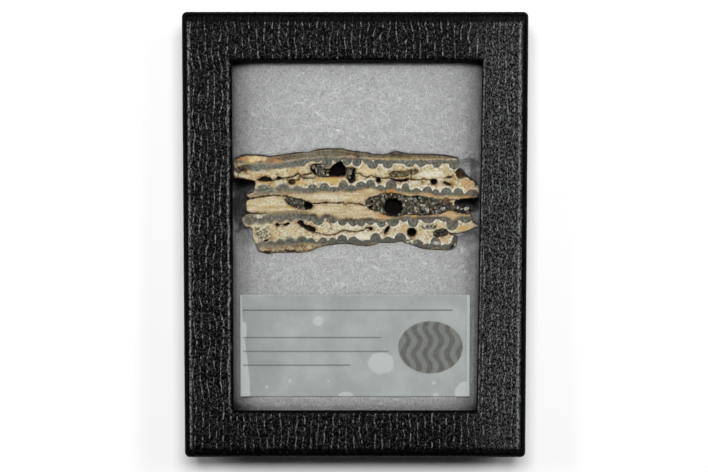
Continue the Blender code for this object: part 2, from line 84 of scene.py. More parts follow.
# Slice: distance between the face's points, how far up their grid the search for its one region starts,
# levels of the rings down its side from 0 to 1, how far below the face the side begins, and its outline
FACE_STEP = 0.15 * MM
START_ROW = 0.62
SIDE_LEVELS = (0.12, 0.35, 0.6, 0.82, 1.0)
RIM_DROP = 0.1 * MM
OUTLINE = [
    (233.8, 159.3), (237.9, 157.6), (242, 155.8), (248.1, 154.8), (255, 155), (263.2, 155.4),
    (269.3, 156.4), (277.5, 155.8), (285.6, 154.6), (293.7, 153.2), (301.8, 152.3), (308.4, 152.7),
    (313.3, 150.9), (318.2, 149.5), (326.3, 149.1), (334.5, 148.9), (341.8, 149), (348.6, 150.7),
    (356, 151.5), (362.1, 152.5), (368.6, 153.2), (371.9, 154.8), (377.2, 154.4), (383.3, 154.8),
    (387.4, 154.6), (391.5, 152.1), (396.8, 151.5), (401.7, 152.7), (408.5, 154.1), (420.5, 154.4),
    (436.8, 154.6), (445, 155.4), (451.1, 156.8), (457.2, 158.1), (458.5, 163.4), (458.7, 168.3),
    (463.4, 170.7), (465.4, 174.4), (469.5, 178.5), (473.6, 181.3), (477.1, 185), (478.5, 189.5),
    (478.3, 194), (476.6, 197.3), (471.5, 198.3), (462.5, 198.8), (456, 199.9), (454, 203), (455, 206.5),
    (460.5, 205.9), (467, 206.1), (470.7, 208.8), (470, 212.5), (472, 215.9), (472.8, 221.5),
    (478.9, 225.7), (473.5, 227.9), (469.5, 230.1), (463.4, 232.5), (457.2, 233.9), (450.1, 234.1),
    (457.2, 236.5), (457.4, 240), (456.4, 243.7), (455.2, 247.1), (451.5, 249.8), (445, 250.2),
    (431.5, 249.3), (423.2, 248.9), (416.9, 246.5), (406.5, 243.1), (400.9, 241.2), (395.5, 242.5),
    (387.4, 242.8), (380, 242.5), (374.5, 244.7), (367, 246), (358, 245.5), (350.7, 243.8),
    (342.5, 243.4), (336.5, 244.1), (330.4, 245.1), (322.2, 246.1), (317.3, 247.9), (310.8, 251.1),
    (305.1, 251.6), (299.5, 252.8), (293.7, 252.4), (281.6, 252.4), (273.4, 252.9), (269.3, 254.1),
    (262.4, 252.8), (258.3, 250.8), (257.1, 246.7), (254.6, 241.4), (252.6, 237.3), (252.6, 231.2),
    (251.4, 228.3), (246.5, 226.7), (243.6, 224.7), (242, 221), (242.4, 216.9), (246.1, 214.5),
    (250.1, 212.8), (246.9, 210.4), (246.1, 206.7), (245.6, 203.8), (247.3, 199.8), (250.1, 197.9),
    (247.3, 196.8), (246.1, 194), (253.8, 191.9), (255.4, 185.4), (254.6, 181.7), (251.8, 180.1),
    (240.7, 178.9), (234.6, 178.1), (233.5, 173.2), (234.9, 169.1), (233.9, 164.3),
]

# Enamel bands. Lobes: middle, tip and half width of each. Then the level between them, and the smooth edge
ENAMEL = {
    "first": {
        "down": True,
        "lobes": [
            (256.5, 171.4, 7.5), (268.5, 170.6, 7.5), (280.5, 168.8, 7), (292, 167.4, 6.5),
            (302, 166.6, 5), (317, 162.4, 4.5), (327.2, 167.4, 5.2), (337.5, 163, 4.6),
            (347.4, 165.2, 4.6), (357, 166.6, 4.6), (366, 164, 3.6), (372.4, 169.4, 5.2),
            (387.5, 168.7, 5.2), (409, 167.2, 6.3), (420.7, 167.2, 4.8), (429.5, 164.5, 3),
            (436, 167.8, 5), (453.4, 169.4, 5.4),
        ],
        "between": [
            (243, 170), (270, 169.5), (300, 166), (312, 161), (350, 159.5), (368, 160.5), (378, 163.7),
            (458, 163.7),
        ],
        "smooth": [
            (233, 164), (250, 163), (272, 163.2), (290, 160.5), (303, 158.5), (320, 157), (350, 156.5),
            (375, 158.7), (400, 159.7), (425, 159.5), (459, 159.5),
        ],
        "ends": (243, 458.6),
    },
    "second": {
        "down": False,
        "lobes": [
            (264, 184.8, 7.5), (283.5, 183, 7.5), (298, 185.6, 7.5), (312.8, 183.9, 5.2),
            (324.5, 182.4, 5.4), (334.3, 186.8, 4.6), (343.4, 180, 4.4), (351.3, 184.3, 3.8),
            (361, 181.1, 5.6), (370.4, 179.6, 5.2), (380.3, 184.6, 4.2), (391, 179.8, 5.8),
            (398.6, 187.3, 3), (405.3, 182.8, 3.9), (416.2, 187.7, 5.6), (427, 186.2, 5),
            (435.4, 188.9, 4.2), (445.8, 187.2, 5.4), (457.6, 187.7, 5.6), (471.6, 189, 7.2),
        ],
        "between": [
            (250, 189), (290, 188), (320, 187.5), (345, 186.5), (370, 186), (410, 189.5), (440, 192),
            (479, 194),
        ],
        "smooth": [
            (250, 194.5), (283, 192), (300, 192.4), (312, 192.9), (320, 191), (334, 191.4), (343, 190.8),
            (352, 191.6), (361, 189.3), (370.6, 187.2), (381, 191.3), (391, 190.6), (405, 192),
            (416, 193.2), (427, 192.2), (435, 195.3), (446, 195), (458, 195.6), (479, 197.5),
        ],
        "ends": (254.5, 479),
    },
    "third": {
        "down": True,
        "lobes": [
            (250, 225, 9), (262, 224.6, 7), (270.5, 223, 5), (281, 222.2, 6), (291, 221.3, 6),
            (303, 219.8, 4.6), (309.2, 221.2, 5), (318, 225.1, 6.2), (332.8, 223.1, 5.2),
            (342.6, 225.5, 5), (352.9, 226.1, 5.3), (360.6, 226.2, 4.8), (370.2, 224.7, 4.6),
            (380.9, 227, 4.6), (392.6, 226.2, 6.8), (403.6, 222.2, 3.9), (412.8, 227.3, 5.2),
            (427.5, 223.4, 9), (443.5, 221.8, 6.5), (451.9, 230.3, 6.2), (465, 222.9, 9.5),
        ],
        "between": [
            (242, 222), (290, 219), (326, 218.6), (350, 222.6), (366, 222.8), (386, 222), (400, 220),
            (418, 219.6), (475, 220),
        ],
        "smooth": [
            (242, 214.2), (256, 213.2), (268, 213.8), (285, 212.2), (305, 212.4), (311, 213.6),
            (316, 215), (320, 217), (326, 214.2), (334, 216.6), (342, 219.5), (347, 217.7), (356, 219.2),
            (368, 218), (379, 220), (384, 221), (391, 218.4), (401, 216.6), (410, 215.9), (446, 216.2),
            (449.5, 217.6), (452.5, 220.8), (456, 217.6), (461, 216), (475, 216),
        ],
        "ends": (242, 473.5),
    },
    "fourth": {
        "down": False,
        "lobes": [
            (262, 241.6, 6.5), (271.5, 240.3, 6), (280.5, 238.6, 5.6), (290, 237.2, 6.5), (302, 235.9, 7),
            (311, 237.4, 4.6), (323.2, 236.8, 4.6), (332.7, 237, 4.2), (342.2, 234.3, 5.3),
            (353.6, 236.3, 6.2), (364.5, 239.4, 6.5), (375.6, 232.7, 5.4), (388, 236.3, 7),
            (400.2, 232.5, 6.2), (418, 239.1, 5.2), (427, 243, 5), (435.4, 236.9, 5.4), (446, 243.8, 6),
        ],
        "between": [
            (252, 244.5), (290, 241), (316, 241.3), (350, 239.6), (368, 239.6), (394, 238.5),
            (410, 243.8), (457, 245.6),
        ],
        "smooth": [
            (252, 247.5), (265, 247.1), (281, 246.4), (301, 244.5), (311, 243.6), (323, 244.1),
            (353, 243.6), (363, 245.6), (376, 242.6), (387, 242.9), (400, 240.6), (407, 242.2),
            (418, 249.2), (435, 248), (457, 250.5),
        ],
        "ends": (255, 457.6),
    },
}
# Where the fourth band turns up round the slice's lower right corner
BAND_TURN = [(446.5, 247.5), (452.0, 244.0), (455.0, 236.8)]

# Hollows: outline, depth and how deep the crust lies in it, or None where it is bare
HOLLOWS = {
    "dome": ([
        (328.7, 176.5), (329.2, 172.5), (331.1, 167.5), (334.5, 164.1), (337.5, 162.7), (341.1, 161.4),
        (342.9, 163.5), (345.3, 167.1), (346.4, 170.5), (346.1, 174.9), (344.1, 176.4), (336.5, 177),
    ], 4.3 * MM, None),
    "upper_left": ([
        (310.1, 168.5), (311.5, 165), (316.5, 163.5), (320, 164.1), (321.5, 162.4), (322.5, 166.8),
        (326.5, 169.1), (331, 168.5), (331, 176.7), (325.5, 177.2), (319.5, 176.8), (316, 174.5),
        (312, 172.5),
    ], 1.9 * MM, 0.8 * MM),
    "upper_right": ([
        (346, 168), (353.5, 167.3), (355.8, 169), (355.5, 175.5), (355, 180.5), (352, 183.5), (349, 182),
        (346, 176),
    ], 1.9 * MM, 0.9 * MM),
    "middle_left": ([
        (284.5, 199), (289, 197), (295.5, 198.3), (301.5, 198.8), (307.5, 201), (312, 203),
        (313.7, 205.5), (311.5, 208.5), (307, 210), (301.5, 209.3), (294.5, 208), (288.5, 204.5),
    ], 1.9 * MM, 0.7 * MM),
    "great": ([
        (366, 200), (368.5, 197.5), (372.5, 197), (376.5, 195), (382.5, 193.3), (390.5, 192.5),
        (398.5, 193.5), (404.5, 195.5), (410.5, 196.5), (416.5, 195.1), (423.5, 196.3), (430.5, 197.7),
        (438.5, 199.3), (445.5, 200.7), (450.5, 203.3), (452.7, 206.1), (457.5, 204.1), (473.5, 203.5),
        (473.5, 213.1), (466, 214.1), (459.5, 213.4), (452.5, 210.7), (446.5, 211.4), (440.5, 213.7),
        (430.5, 215.1), (420.5, 215.5), (411.5, 214.7), (404.5, 215), (398.5, 216.5), (390.5, 216.5),
        (383.5, 215), (378.5, 212), (372.5, 210.3), (367.5, 208), (365.7, 204),
    ], 2.2 * MM, 0.45 * MM),
    "oval": ([
        (297, 223), (300, 220), (303, 221), (304.5, 224), (309.5, 225.3), (313.5, 227), (316.5, 229.8),
        (315, 232.1), (309.5, 232), (305.5, 229.5), (302, 227), (299, 224.5),
    ], 1.6 * MM, None),
    "tongue": ([
        (388.8, 174), (392, 171.3), (397.5, 171.3), (404.5, 171.8), (409.5, 169.9), (415.5, 169.5),
        (419.1, 171.3), (416.5, 173.5), (411, 174.5), (405.5, 176.5), (400, 177.1), (394.5, 177.8),
        (390, 177),
    ], 1.3 * MM, 0.45 * MM),
    "under_tongue": ([
        (388.5, 178.2), (396.5, 179), (402.5, 179.4), (408, 178.2), (408.8, 180.3), (406, 182),
        (399.5, 182.1), (394.5, 181.7),
    ], 1.4 * MM, None),
    "right_end": ([
        (454.1, 172), (457, 169.5), (461.5, 167.5), (468, 170.5), (469, 177.3), (463.5, 178),
        (458.7, 178.7), (455.7, 176.1),
    ], 1.6 * MM, None),
    "lower_right": ([
        (432, 232), (436.5, 229.7), (441.5, 228.8), (446, 229.5), (448, 231.7), (447.5, 234.1),
        (442, 236.7), (437.5, 237.5), (434, 236),
    ], 1.6 * MM, 0.7 * MM),
    "left_crack": ([
        (256.5, 180), (260.5, 177.5), (265, 176.1), (269.5, 177.3), (273, 180), (270.5, 181.8),
        (264.5, 181.5), (259.5, 181.3),
    ], 1.2 * MM, None),
}
# Which of them are painted black or dark as shade, and how far under a crust's surface the slice's own floor
# lies
BLACK_HOLLOWS = ("dome",)
DARK_HOLLOWS = ("oval", "under_tongue", "left_crack")
UNDER_LINING = 0.3 * MM

# How far in from its edge a lobe shades off, how crisp the smooth edge is, and how strong each band's seam is
LOBE_REACH = 6.0
SMOOTH_EDGE = 0.45
SEAM_SHARE = {"first": 0.25, "second": 0.9, "third": 1.0, "fourth": 0.7}

# Where the look of the face changes along x or y: the pixels where a change begins and where it is complete
BLURRED_ENAMEL = (330, 270)
PALE_RIM = (300, 360)
PLAIN_LOBES = (350, 290)
TURN_RIM = (456, 453)
PALE_BELOW = (216, 226)
PALE_RIGHT = (268, 290)
FRINGE = (230, 237)
UPPER_PART = 180

# Holes: middle, half length, half width, turn in degrees anticlockwise, depth in millimetres
HOLES = [
    (308.5, 205.7, 4.2, 3.6, 0, 3.8), (393.1, 206.7, 9.6, 8.9, 0, 4.4), (411.6, 232.4, 4.6, 4.5, 0, 4.3),
    (378.3, 180.4, 2.5, 2.4, 0, 2.2), (433.6, 181.9, 3.4, 2.8, 20, 2.0),
    (446.5, 183.6, 4.7, 1.6, -22, 0.8), (448.7, 177.2, 3.1, 1.2, 8, 0.8),
    (279.1, 178.1, 2.4, 1.7, 0, 1.2), (291.8, 182, 3.7, 2.8, 0, 0.7), (277.3, 224.7, 1.9, 1.6, 0, 1.6),
    (286.7, 224.2, 3.2, 1.2, 20, 1.6), (370.7, 228.7, 1.9, 1.7, 0, 1.8),
    (386.7, 229.9, 4.8, 1.8, 56, 1.8), (266.1, 240.5, 2.8, 1, 15, 0.9), (426.9, 226.9, 1.6, 1.1, 0, 0.5),
    (430.9, 226.5, 1.2, 1.1, 0, 0.5), (434.5, 226.7, 1.2, 1.1, 0, 0.5), (452.1, 246.5, 2.6, 0.9, 45, 0.9),
    (416.8, 197.5, 1.9, 1.8, 0, 1.6), (372, 202, 1.4, 1.3, 0, 1.4), (370.6, 207.2, 2.4, 1.1, 10, 1.4),
    (352.8, 175.5, 6.6, 1.7, 82, 2.2), (313.4, 171, 4.6, 1.5, -55, 2.2), (325.5, 202.8, 2, 1.1, 0, 0.5),
    (286.5, 196.2, 1.4, 0.9, 0, 0.5),
]

# Cracks: points and width in pixels
CRACKS = [
    ([(272, 180.5), (275.5, 180), (279.1, 178.1), (290.1, 177.4), (293.7, 176.4), (298.5, 173.2),
      (300.5, 176), (305.9, 174.4), (312, 173.6)], 1.1),
    ([(300.5, 176), (303.1, 178.1), (310, 178.1), (314.1, 178.7)], 0.9),
    ([(300, 177), (299, 179.6), (295.1, 180)], 0.6),
    ([(355.8, 173.4), (359.6, 173.4), (364, 176.7), (367, 177.2), (371, 175.6), (375.2, 177.2),
      (383, 178.5), (386.5, 178.1), (389, 176.8)], 0.9),
    ([(409, 178.8), (411.8, 179.8), (421.3, 180), (423.4, 178.6), (425.4, 179.5), (431, 180.1)], 0.8),
    ([(410.7, 175.3), (410.7, 179)], 0.5), ([(421.7, 180.2), (421.5, 182.6)], 0.5),
    ([(248.5, 198.9), (261, 196.8), (269.3, 195.6), (279.5, 195.4), (286.5, 196.4), (291, 197.5)], 1.1),
    ([(313.7, 203), (322, 203.2), (326.3, 202.6), (336.5, 203.2), (342.6, 202.4), (345.4, 204.9),
      (348.6, 202.8), (354.7, 203.6), (359.6, 203.8), (365.8, 206.2)], 0.9),
    ([(314.1, 232.4), (320, 233.6), (324.3, 234.5), (330.4, 234.9), (334.5, 234.5), (340.2, 231.6),
      (344.7, 229.8), (349.8, 231.6), (356, 231.8), (364.5, 230), (366.2, 227.5)], 0.8),
    ([(366.2, 227.5), (370.7, 228.7)], 1), ([(277.3, 224.7), (284.5, 224.4), (290, 223.6)], 0.6),
    ([(448.5, 233), (457, 233.8), (464, 232.6)], 0.9), ([(327, 219.5), (331, 225.3)], 0.5),
    ([(250, 213.2), (256, 213), (262, 214.2), (266, 212.6)], 0.6),
]
CRACK_DEPTH = 0.3 * MM
# In pixels: the farthest that counts as near a crack or hollow, how far from a band's middle the distance to
# its scallops is worked out, and the distance that stands in beyond that
FAR = 9.0
BAND_REACH = 22.0
BEYOND_REACH = 30.0

# Stains: middle, half width, half height, colour and strength
ORANGE = (0.41, 0.2, 0.06)
YELLOW = (0.45, 0.31, 0.08)
BROWN = (0.045, 0.024, 0.012)
PALE = (0.6, 0.57, 0.46)
OLIVE = (0.15, 0.14, 0.095)
RUST = (0.2, 0.1, 0.04)
DARK = (0.018, 0.011, 0.006)
BLUISH = (0.14, 0.16, 0.155)
CREAM = (0.58, 0.46, 0.25)
STAINS = [
    (329, 179.5, 14, 2.6, YELLOW, 0.75), (338, 182, 8, 2, YELLOW, 0.5), (391, 191, 6, 2.8, ORANGE, 0.8),
    (379, 191.5, 6, 1.6, ORANGE, 0.35), (382, 216, 5, 3, ORANGE, 0.8), (466, 183.5, 7, 3.6, ORANGE, 0.62),
    (428, 194, 4.5, 2, ORANGE, 0.6), (446.5, 197.5, 2.5, 1.4, BROWN, 0.5),
    (451, 213.8, 8, 2.8, ORANGE, 0.35), (461, 228, 8, 2.6, YELLOW, 0.6),
    (441, 225.5, 4, 2.2, ORANGE, 0.35), (402.5, 226, 3.2, 2.4, ORANGE, 0.35),
    (440.5, 239.5, 4, 2.4, ORANGE, 0.3), (449, 236, 2.5, 1.6, ORANGE, 0.4),
    (252, 161.5, 9, 2.2, YELLOW, 0.6), (243, 158.5, 6, 1.8, ORANGE, 0.45),
    (262, 158.5, 18, 1.4, ORANGE, 0.28), (271, 170.5, 6, 3, YELLOW, 0.3),
    (268, 165.2, 16, 2.2, BLUISH, 0.3), (296, 169.5, 8, 2.6, YELLOW, 0.4),
    (357.5, 156, 3.2, 2.4, DARK, 0.75), (392, 153.5, 9, 2, DARK, 0.7), (326.5, 156, 2.6, 2.8, DARK, 0.75),
    (353, 156.5, 3.5, 1.6, ORANGE, 0.45), (386, 159.5, 3, 1.2, ORANGE, 0.4),
    (373, 158.5, 5, 1.8, ORANGE, 0.25), (313.5, 214.6, 5, 1.8, BROWN, 0.7),
    (327, 215.6, 6, 1.8, BROWN, 0.6), (350, 219.6, 9, 1.8, BROWN, 0.7), (369, 219, 9, 1.8, BROWN, 0.7),
    (425, 217.6, 22, 1.6, BROWN, 0.5), (367.5, 228, 4, 1.8, BROWN, 0.5),
    (413.5, 216.5, 4, 2.4, YELLOW, 0.4), (259, 216, 6, 2.2, PALE, 0.75),
    (264, 214.6, 2.6, 1.6, PALE, 0.5), (241, 169.5, 9, 4.4, BROWN, 0.78), (238, 177, 5, 2.2, BROWN, 0.5),
    (266, 252.6, 10, 3, DARK, 0.95), (288, 250.6, 16, 2, DARK, 0.9), (300, 246, 10, 2, BROWN, 0.5),
    (308, 250, 5, 1.5, BROWN, 0.4), (278.5, 183.5, 5, 1.2, PALE, 0.4), (293, 205.8, 4, 1, YELLOW, 0.2),
    (257, 210.2, 4, 1.6, YELLOW, 0.35), (281, 207, 16, 2.4, YELLOW, 0.18),
    (355, 197.5, 12, 2.6, YELLOW, 0.25), (309, 234.5, 7, 1.6, ORANGE, 0.2),
    (291, 229.5, 8, 2.5, YELLOW, 0.35), (420, 231, 5, 5, YELLOW, 0.25), (305, 243, 8, 1, YELLOW, 0.3),
    (475, 192.5, 3, 5, BROWN, 0.5), (449, 199.5, 12, 2, BROWN, 0.7), (420, 248.5, 9, 1.6, BROWN, 0.35),
    (366, 244.5, 8, 1.5, BROWN, 0.3), (342, 242.3, 2.8, 0.7, PALE, 0.8), (412, 241.5, 5, 2, PALE, 0.45),
    (437, 248.6, 3.6, 1.6, YELLOW, 0.35), (452.8, 158.8, 2.2, 1.3, PALE, 0.6),
    (372.8, 160.7, 1, 0.9, PALE, 0.8), (362.5, 236, 8.5, 4.6, PALE, 0.9), (431, 174, 17, 4.5, PALE, 0.75),
    (440, 181, 7, 4, PALE, 0.4), (368, 171, 14, 3.6, CREAM, 0.7), (330, 197, 22, 3, PALE, 0.35),
    (305, 215, 12, 1.2, BROWN, 0.2), (262, 181.5, 8, 1.6, ORANGE, 0.45), (421, 183, 5, 1.6, BROWN, 0.3),
    (468, 197, 9, 1.4, ORANGE, 0.6), (378, 177.5, 7, 1.2, BROWN, 0.5), (393, 183.5, 8, 1.6, BROWN, 0.35),
    (462, 203.5, 9, 2.6, DARK, 0.8), (335, 177.5, 12, 0.9, ORANGE, 0.7), (449, 203.5, 5, 2, BROWN, 0.5),
    (350, 228, 14, 2, PALE, 0.3), (276, 157.6, 12, 2.6, RUST, 0.9), (257, 158.6, 17, 3.6, CREAM, 0.95),
    (254, 154, 15, 2.4, DARK, 0.9), (239, 156.6, 7, 3.2, DARK, 0.95), (245, 158.8, 7, 2.2, ORANGE, 0.8),
    (276, 161.2, 10, 1.8, ORANGE, 0.7), (285, 157.3, 6, 2.6, BROWN, 0.4),
    (242, 168.4, 11, 5.6, BROWN, 0.85), (241, 169.6, 6, 3.4, DARK, 0.95),
    (240.5, 179.2, 8, 2.4, DARK, 0.85), (246, 175.8, 6, 1.4, PALE, 0.4),
    (410, 158.2, 44, 1.4, YELLOW, 0.25), (410, 154.6, 56, 2.2, BROWN, 0.6),
    (263, 175.2, 9, 1.6, ORANGE, 0.5), (264, 182.4, 9, 1.4, ORANGE, 0.5), (320, 155, 34, 4, OLIVE, 0.5),
    (468.5, 176.5, 5, 1.8, BROWN, 0.7), (475.5, 184, 3.5, 4, DARK, 0.8), (470, 188, 7, 3, ORANGE, 0.5),
    (317, 176.8, 22, 1, BROWN, 0.45), (288, 178.2, 12, 1.6, BROWN, 0.35),
    (300, 182.5, 14, 2.2, YELLOW, 0.5), (252, 178.5, 8, 1.2, ORANGE, 0.5), (414, 182.5, 7, 3, PALE, 0.6),
    (300, 172, 8, 2, ORANGE, 0.2), (320, 230, 8, 2.4, YELLOW, 0.3), (405, 230, 5, 3, YELLOW, 0.4),
    (436, 243, 7, 2, PALE, 0.5),
]

# Lumpy and pitted patches: middle, half width, half height, and how pale the lumps are
ROUGH_PATCHES = [
    (262.5, 233.5, 9.5, 8, 1), (266, 189, 11, 4.5, 0.3), (428, 227, 9, 3, 1), (411, 241.5, 6, 3, 1),
]
PIT_DEPTH = 0.35 * MM

# Crystals: their colours and how often each comes, purplish ones at the right and golden ones in the tongue
CRYSTAL_COLOURS = [
    (0.05, 0.046, 0.03), (0.1, 0.098, 0.068), (0.19, 0.185, 0.135), (0.085, 0.045, 0.02), (0.4, 0.38, 0.28),
    (0.01, 0.009, 0.006),
]
CRYSTAL_SHARES = [0.22, 0.21, 0.23, 0.1, 0.08, 0.16]
CRYSTAL_STEP = 1.6
CRYSTAL_SEED = 5
COARSE_FROM = 412
PURPLE_FROM = 438
PURPLE = (0.62, 0.5, 0.52)
TONGUE_FROM = 380
TONGUE = (0.7, 0.52, 0.22)

# Light crystals that stand out in the crust, in clusters: middle and size in pixels
BRIGHT = (0.52, 0.5, 0.42)
CLUSTER = 4
BRIGHT_CRYSTALS = [
    (428, 210.5, 2.4), (425.5, 209, 1.6), (443, 208.5, 2), (440.5, 207.5, 1.2), (421, 205, 1.6),
    (433, 203.5, 1.5), (416, 211.5, 1.4), (436, 211, 1.5), (464.5, 208.8, 3), (467.5, 208.5, 2),
    (461.5, 210, 2), (457.5, 208, 1.6), (411, 199, 1.3), (419, 197.8, 1.1), (316.5, 171.5, 1.2),
    (324, 173.5, 1.1), (349.5, 177.5, 1),
]

# Pad and loose fibres. Where the pad sinks and gets painted shade: middle and half sizes in pixels, and depth
# in mm
BATTING_STEP = 0.3 * MM
CROWN_SIDE = 4.8 * MM
CROWN_END = 3.2 * MM
FIBRES = 3600
FIBRE_STEPS = 9
FIBRE_SEED = 17
BATTING_HOLLOWS = [
    (244, 185, 15, 10, 5), (240, 206, 8, 22, 4), (243, 236, 8, 14, 1.7), (466, 205, 15, 8, 5.5),
    (470, 240, 12, 8, 1.7), (469, 165, 11, 6, 1.5), (474, 190, 4, 30, 2),
]

# Label. Blotches are where the film touches the glass, as middle and half sizes in pixels
LABEL_MIDDLE_Y = -27.0 * MM
LABEL_STEP = 0.2 * MM
LABEL_MIDDLE = (354.5, 345.5)
LABEL_HALF = (114, 51)
# Strips at both sides that touch the glass too. Then where the film dims: towards its left side, the levels
# over which that sets in from the top down, and towards its top edge
LEFT_STRIP = (241, 249)
LEFT_STRIP_ENDS = (300, 396)
RIGHT_STRIP = (466.2, 467)
DIM_SIDE = (300, 244)
DIM_TOP = (296, 312)
DIM_EDGE = (316, 296)
LABEL_BLOTCHES = [
    (317.5, 320.5, 5, 5), (380.5, 363, 13.5, 11.5), (345, 397, 8, 5), (435.5, 396, 3, 3),
    (433.5, 383, 2, 2), (468, 394, 14, 13), (289, 381, 1.6, 1.6), (266, 387, 1.4, 1.4),
    (328, 381, 1.3, 1.3), (243, 330, 3, 9),
]
# Ruled lines: left end, right end and level. The motif is an oval: middle and half sizes
LABEL_RULES = [(242.5, 452, 309.5), (242.5, 380, 337), (242.5, 388, 351), (242.5, 350, 365)]
LABEL_MOTIF = (430, 347, 33, 27)


def add_object(name, mesh):
    obj = bpy.data.objects.new(name, mesh)
    bpy.context.scene.collection.objects.link(obj)
    return obj


def mesh_from(name, points, faces, smooth=True):
    mesh = bpy.data.meshes.new(name)
    mesh.from_pydata(points, [], faces)
    mesh.validate()
    if smooth:
        mesh.shade_smooth()
    return mesh


def set_values(mesh, name, values):
    made = mesh.attributes.new(name, "FLOAT", "POINT")
    made.data.foreach_set("value", np.ascontiguousarray(values, np.float32))


def set_colours(mesh, name, colours):
    made = mesh.attributes.new(name, "FLOAT_COLOR", "POINT")
    made.data.foreach_set("color", np.ascontiguousarray(colours, np.float32).ravel())


def lattice(ix, iy, seed):
    """A fixed random number from 0 to 1 for each whole-numbered place."""
    mixed = (ix * 374761393 + iy * 668265263 + seed * 974634777) & 0xFFFFFFFF
    mixed = ((mixed ^ (mixed >> 13)) * 1274126177) & 0xFFFFFFFF
    return ((mixed ^ (mixed >> 16)) & 0xFFFF) / 65535.0


def smooth_noise(x, y, seed=0):
    """Noise from 0 to 1 with lumps about one unit across."""
    ix = np.floor(x).astype(np.int64)
    iy = np.floor(y).astype(np.int64)
    fx = x - ix
    fy = y - iy
    fx = fx * fx * (3 - 2 * fx)
    fy = fy * fy * (3 - 2 * fy)
    low = lattice(ix, iy, seed) * (1 - fx) + lattice(ix + 1, iy, seed) * fx
    high = lattice(ix, iy + 1, seed) * (1 - fx) + lattice(ix + 1, iy + 1, seed) * fx
    return low * (1 - fy) + high * fy


def fractal(x, y, seed=0, octaves=4):
    """Noise from -1 to 1 with ever finer lumps."""
    total = np.zeros_like(x, dtype=float)
    weight = 0.0
    for octave in range(octaves):
        share = 0.5 ** octave
        scale = 2.03 ** octave
        lumps = smooth_noise(x * scale + 17.1 * octave, y * scale - 9.7 * octave, seed + octave)
        total += share * (lumps * 2 - 1)
        weight += share
    return total / weight


def ramp(value, low, high):
    """0 below low, 1 above high, smooth between. low may be the larger of the two."""
    t = np.clip((value - low) / (high - low), 0, 1)
    return t * t * (3 - 2 * t)


def line_distance(px, py, points):
    """Distance to a chain of straight pieces."""
    best = np.full(px.shape, 1e9)
    for (ax, ay), (bx, by) in zip(points, points[1:]):
        dx = bx - ax
        dy = by - ay
        t = np.clip(((px - ax) * dx + (py - ay) * dy) / max(dx * dx + dy * dy, 1e-9), 0, 1)
        best = np.minimum(best, np.hypot(px - ax - t * dx, py - ay - t * dy))
    return best


def shape_distance(px, py, points):
    """Distance to a closed outline, below 0 inside."""
    inside = np.zeros(px.shape, bool)
    for (ax, ay), (bx, by) in zip(points, points[1:] + points[:1]):
        crosses = (ay > py) != (by > py)
        if ay != by:
            inside ^= crosses & (px < ax + (py - ay) / (by - ay) * (bx - ax))
    distance = line_distance(px, py, points + points[:1])
    return np.where(inside, -distance, distance)


def oval_distance(px, py, hole):
    """Distance to a turned oval, near enough, below 0 inside."""
    x, y, length, width, turn, _ = hole
    turn = math.radians(turn)
    dx = px - x
    dy = y - py
    along = dx * math.cos(turn) + dy * math.sin(turn)
    across = dy * math.cos(turn) - dx * math.sin(turn)
    return (np.hypot(along / length, across / width) - 1) * min(length, width)


def band_edges(band, px):
    """The scalloped and the smooth edge of an enamel band, as heights in the photograph over px."""
    sign = 1.0 if band["down"] else -1.0
    between = np.interp(px, *zip(*band["between"])) * sign
    scallops = between.copy()
    for middle, tip, half in band["lobes"]:
        t = np.clip(np.abs(px - middle) / half, 0, 1)
        arc = sign * tip - half * 1.15 * (1 - np.sqrt(1 - t * t))
        scallops = np.where(t < 1, np.maximum(scallops, arc), scallops)
    return scallops * sign, np.interp(px, *zip(*band["smooth"]))


def band_fields(band, px, py):
    """How far outside the scalloped edge and the smooth edge each point lies, below 0 inside the band."""
    low_x, high_x = band["ends"]
    xs = np.arange(low_x - 2, high_x + 2, 0.2)
    scallops, smooth = band_edges(band, xs)
    sign = 1.0 if band["down"] else -1.0
    here_scallop, here_smooth = band_edges(band, px)
    to_scallop = np.full(px.shape, BEYOND_REACH)
    middle = (scallops.mean() + smooth.mean()) / 2
    near = np.abs(py - middle) < BAND_REACH
    nx = px[near]
    ny = py[near]
    best = np.full(nx.shape, 1e9)
    for shift in np.arange(-4.0, 4.01, 0.2):
        at = nx + shift
        edge = np.interp(at, xs, scallops)
        best = np.minimum(best, shift * shift + (edge - ny) ** 2)
    to_scallop[near] = np.sqrt(best)
    outside_scallop = np.where((py - here_scallop) * sign > 0, to_scallop, -to_scallop)
    outside_smooth = (here_smooth - py) * sign
    ends = np.maximum(low_x - px, px - high_x)
    return outside_scallop, outside_smooth, ends


def mixed(a, b, share):
    return a * (1 - share) + b * share


def spot_distance(px, py, x, y, half_width, half_height):
    """How far from a spot's middle each point lies, 1 at its edge."""
    return np.hypot((px - x) / half_width, (py - y) / half_height)


def widen(shape, name, mask):
    """Adds a mask to the one of that name."""
    shape[name] = np.maximum(shape.get(name, 0.0), mask)


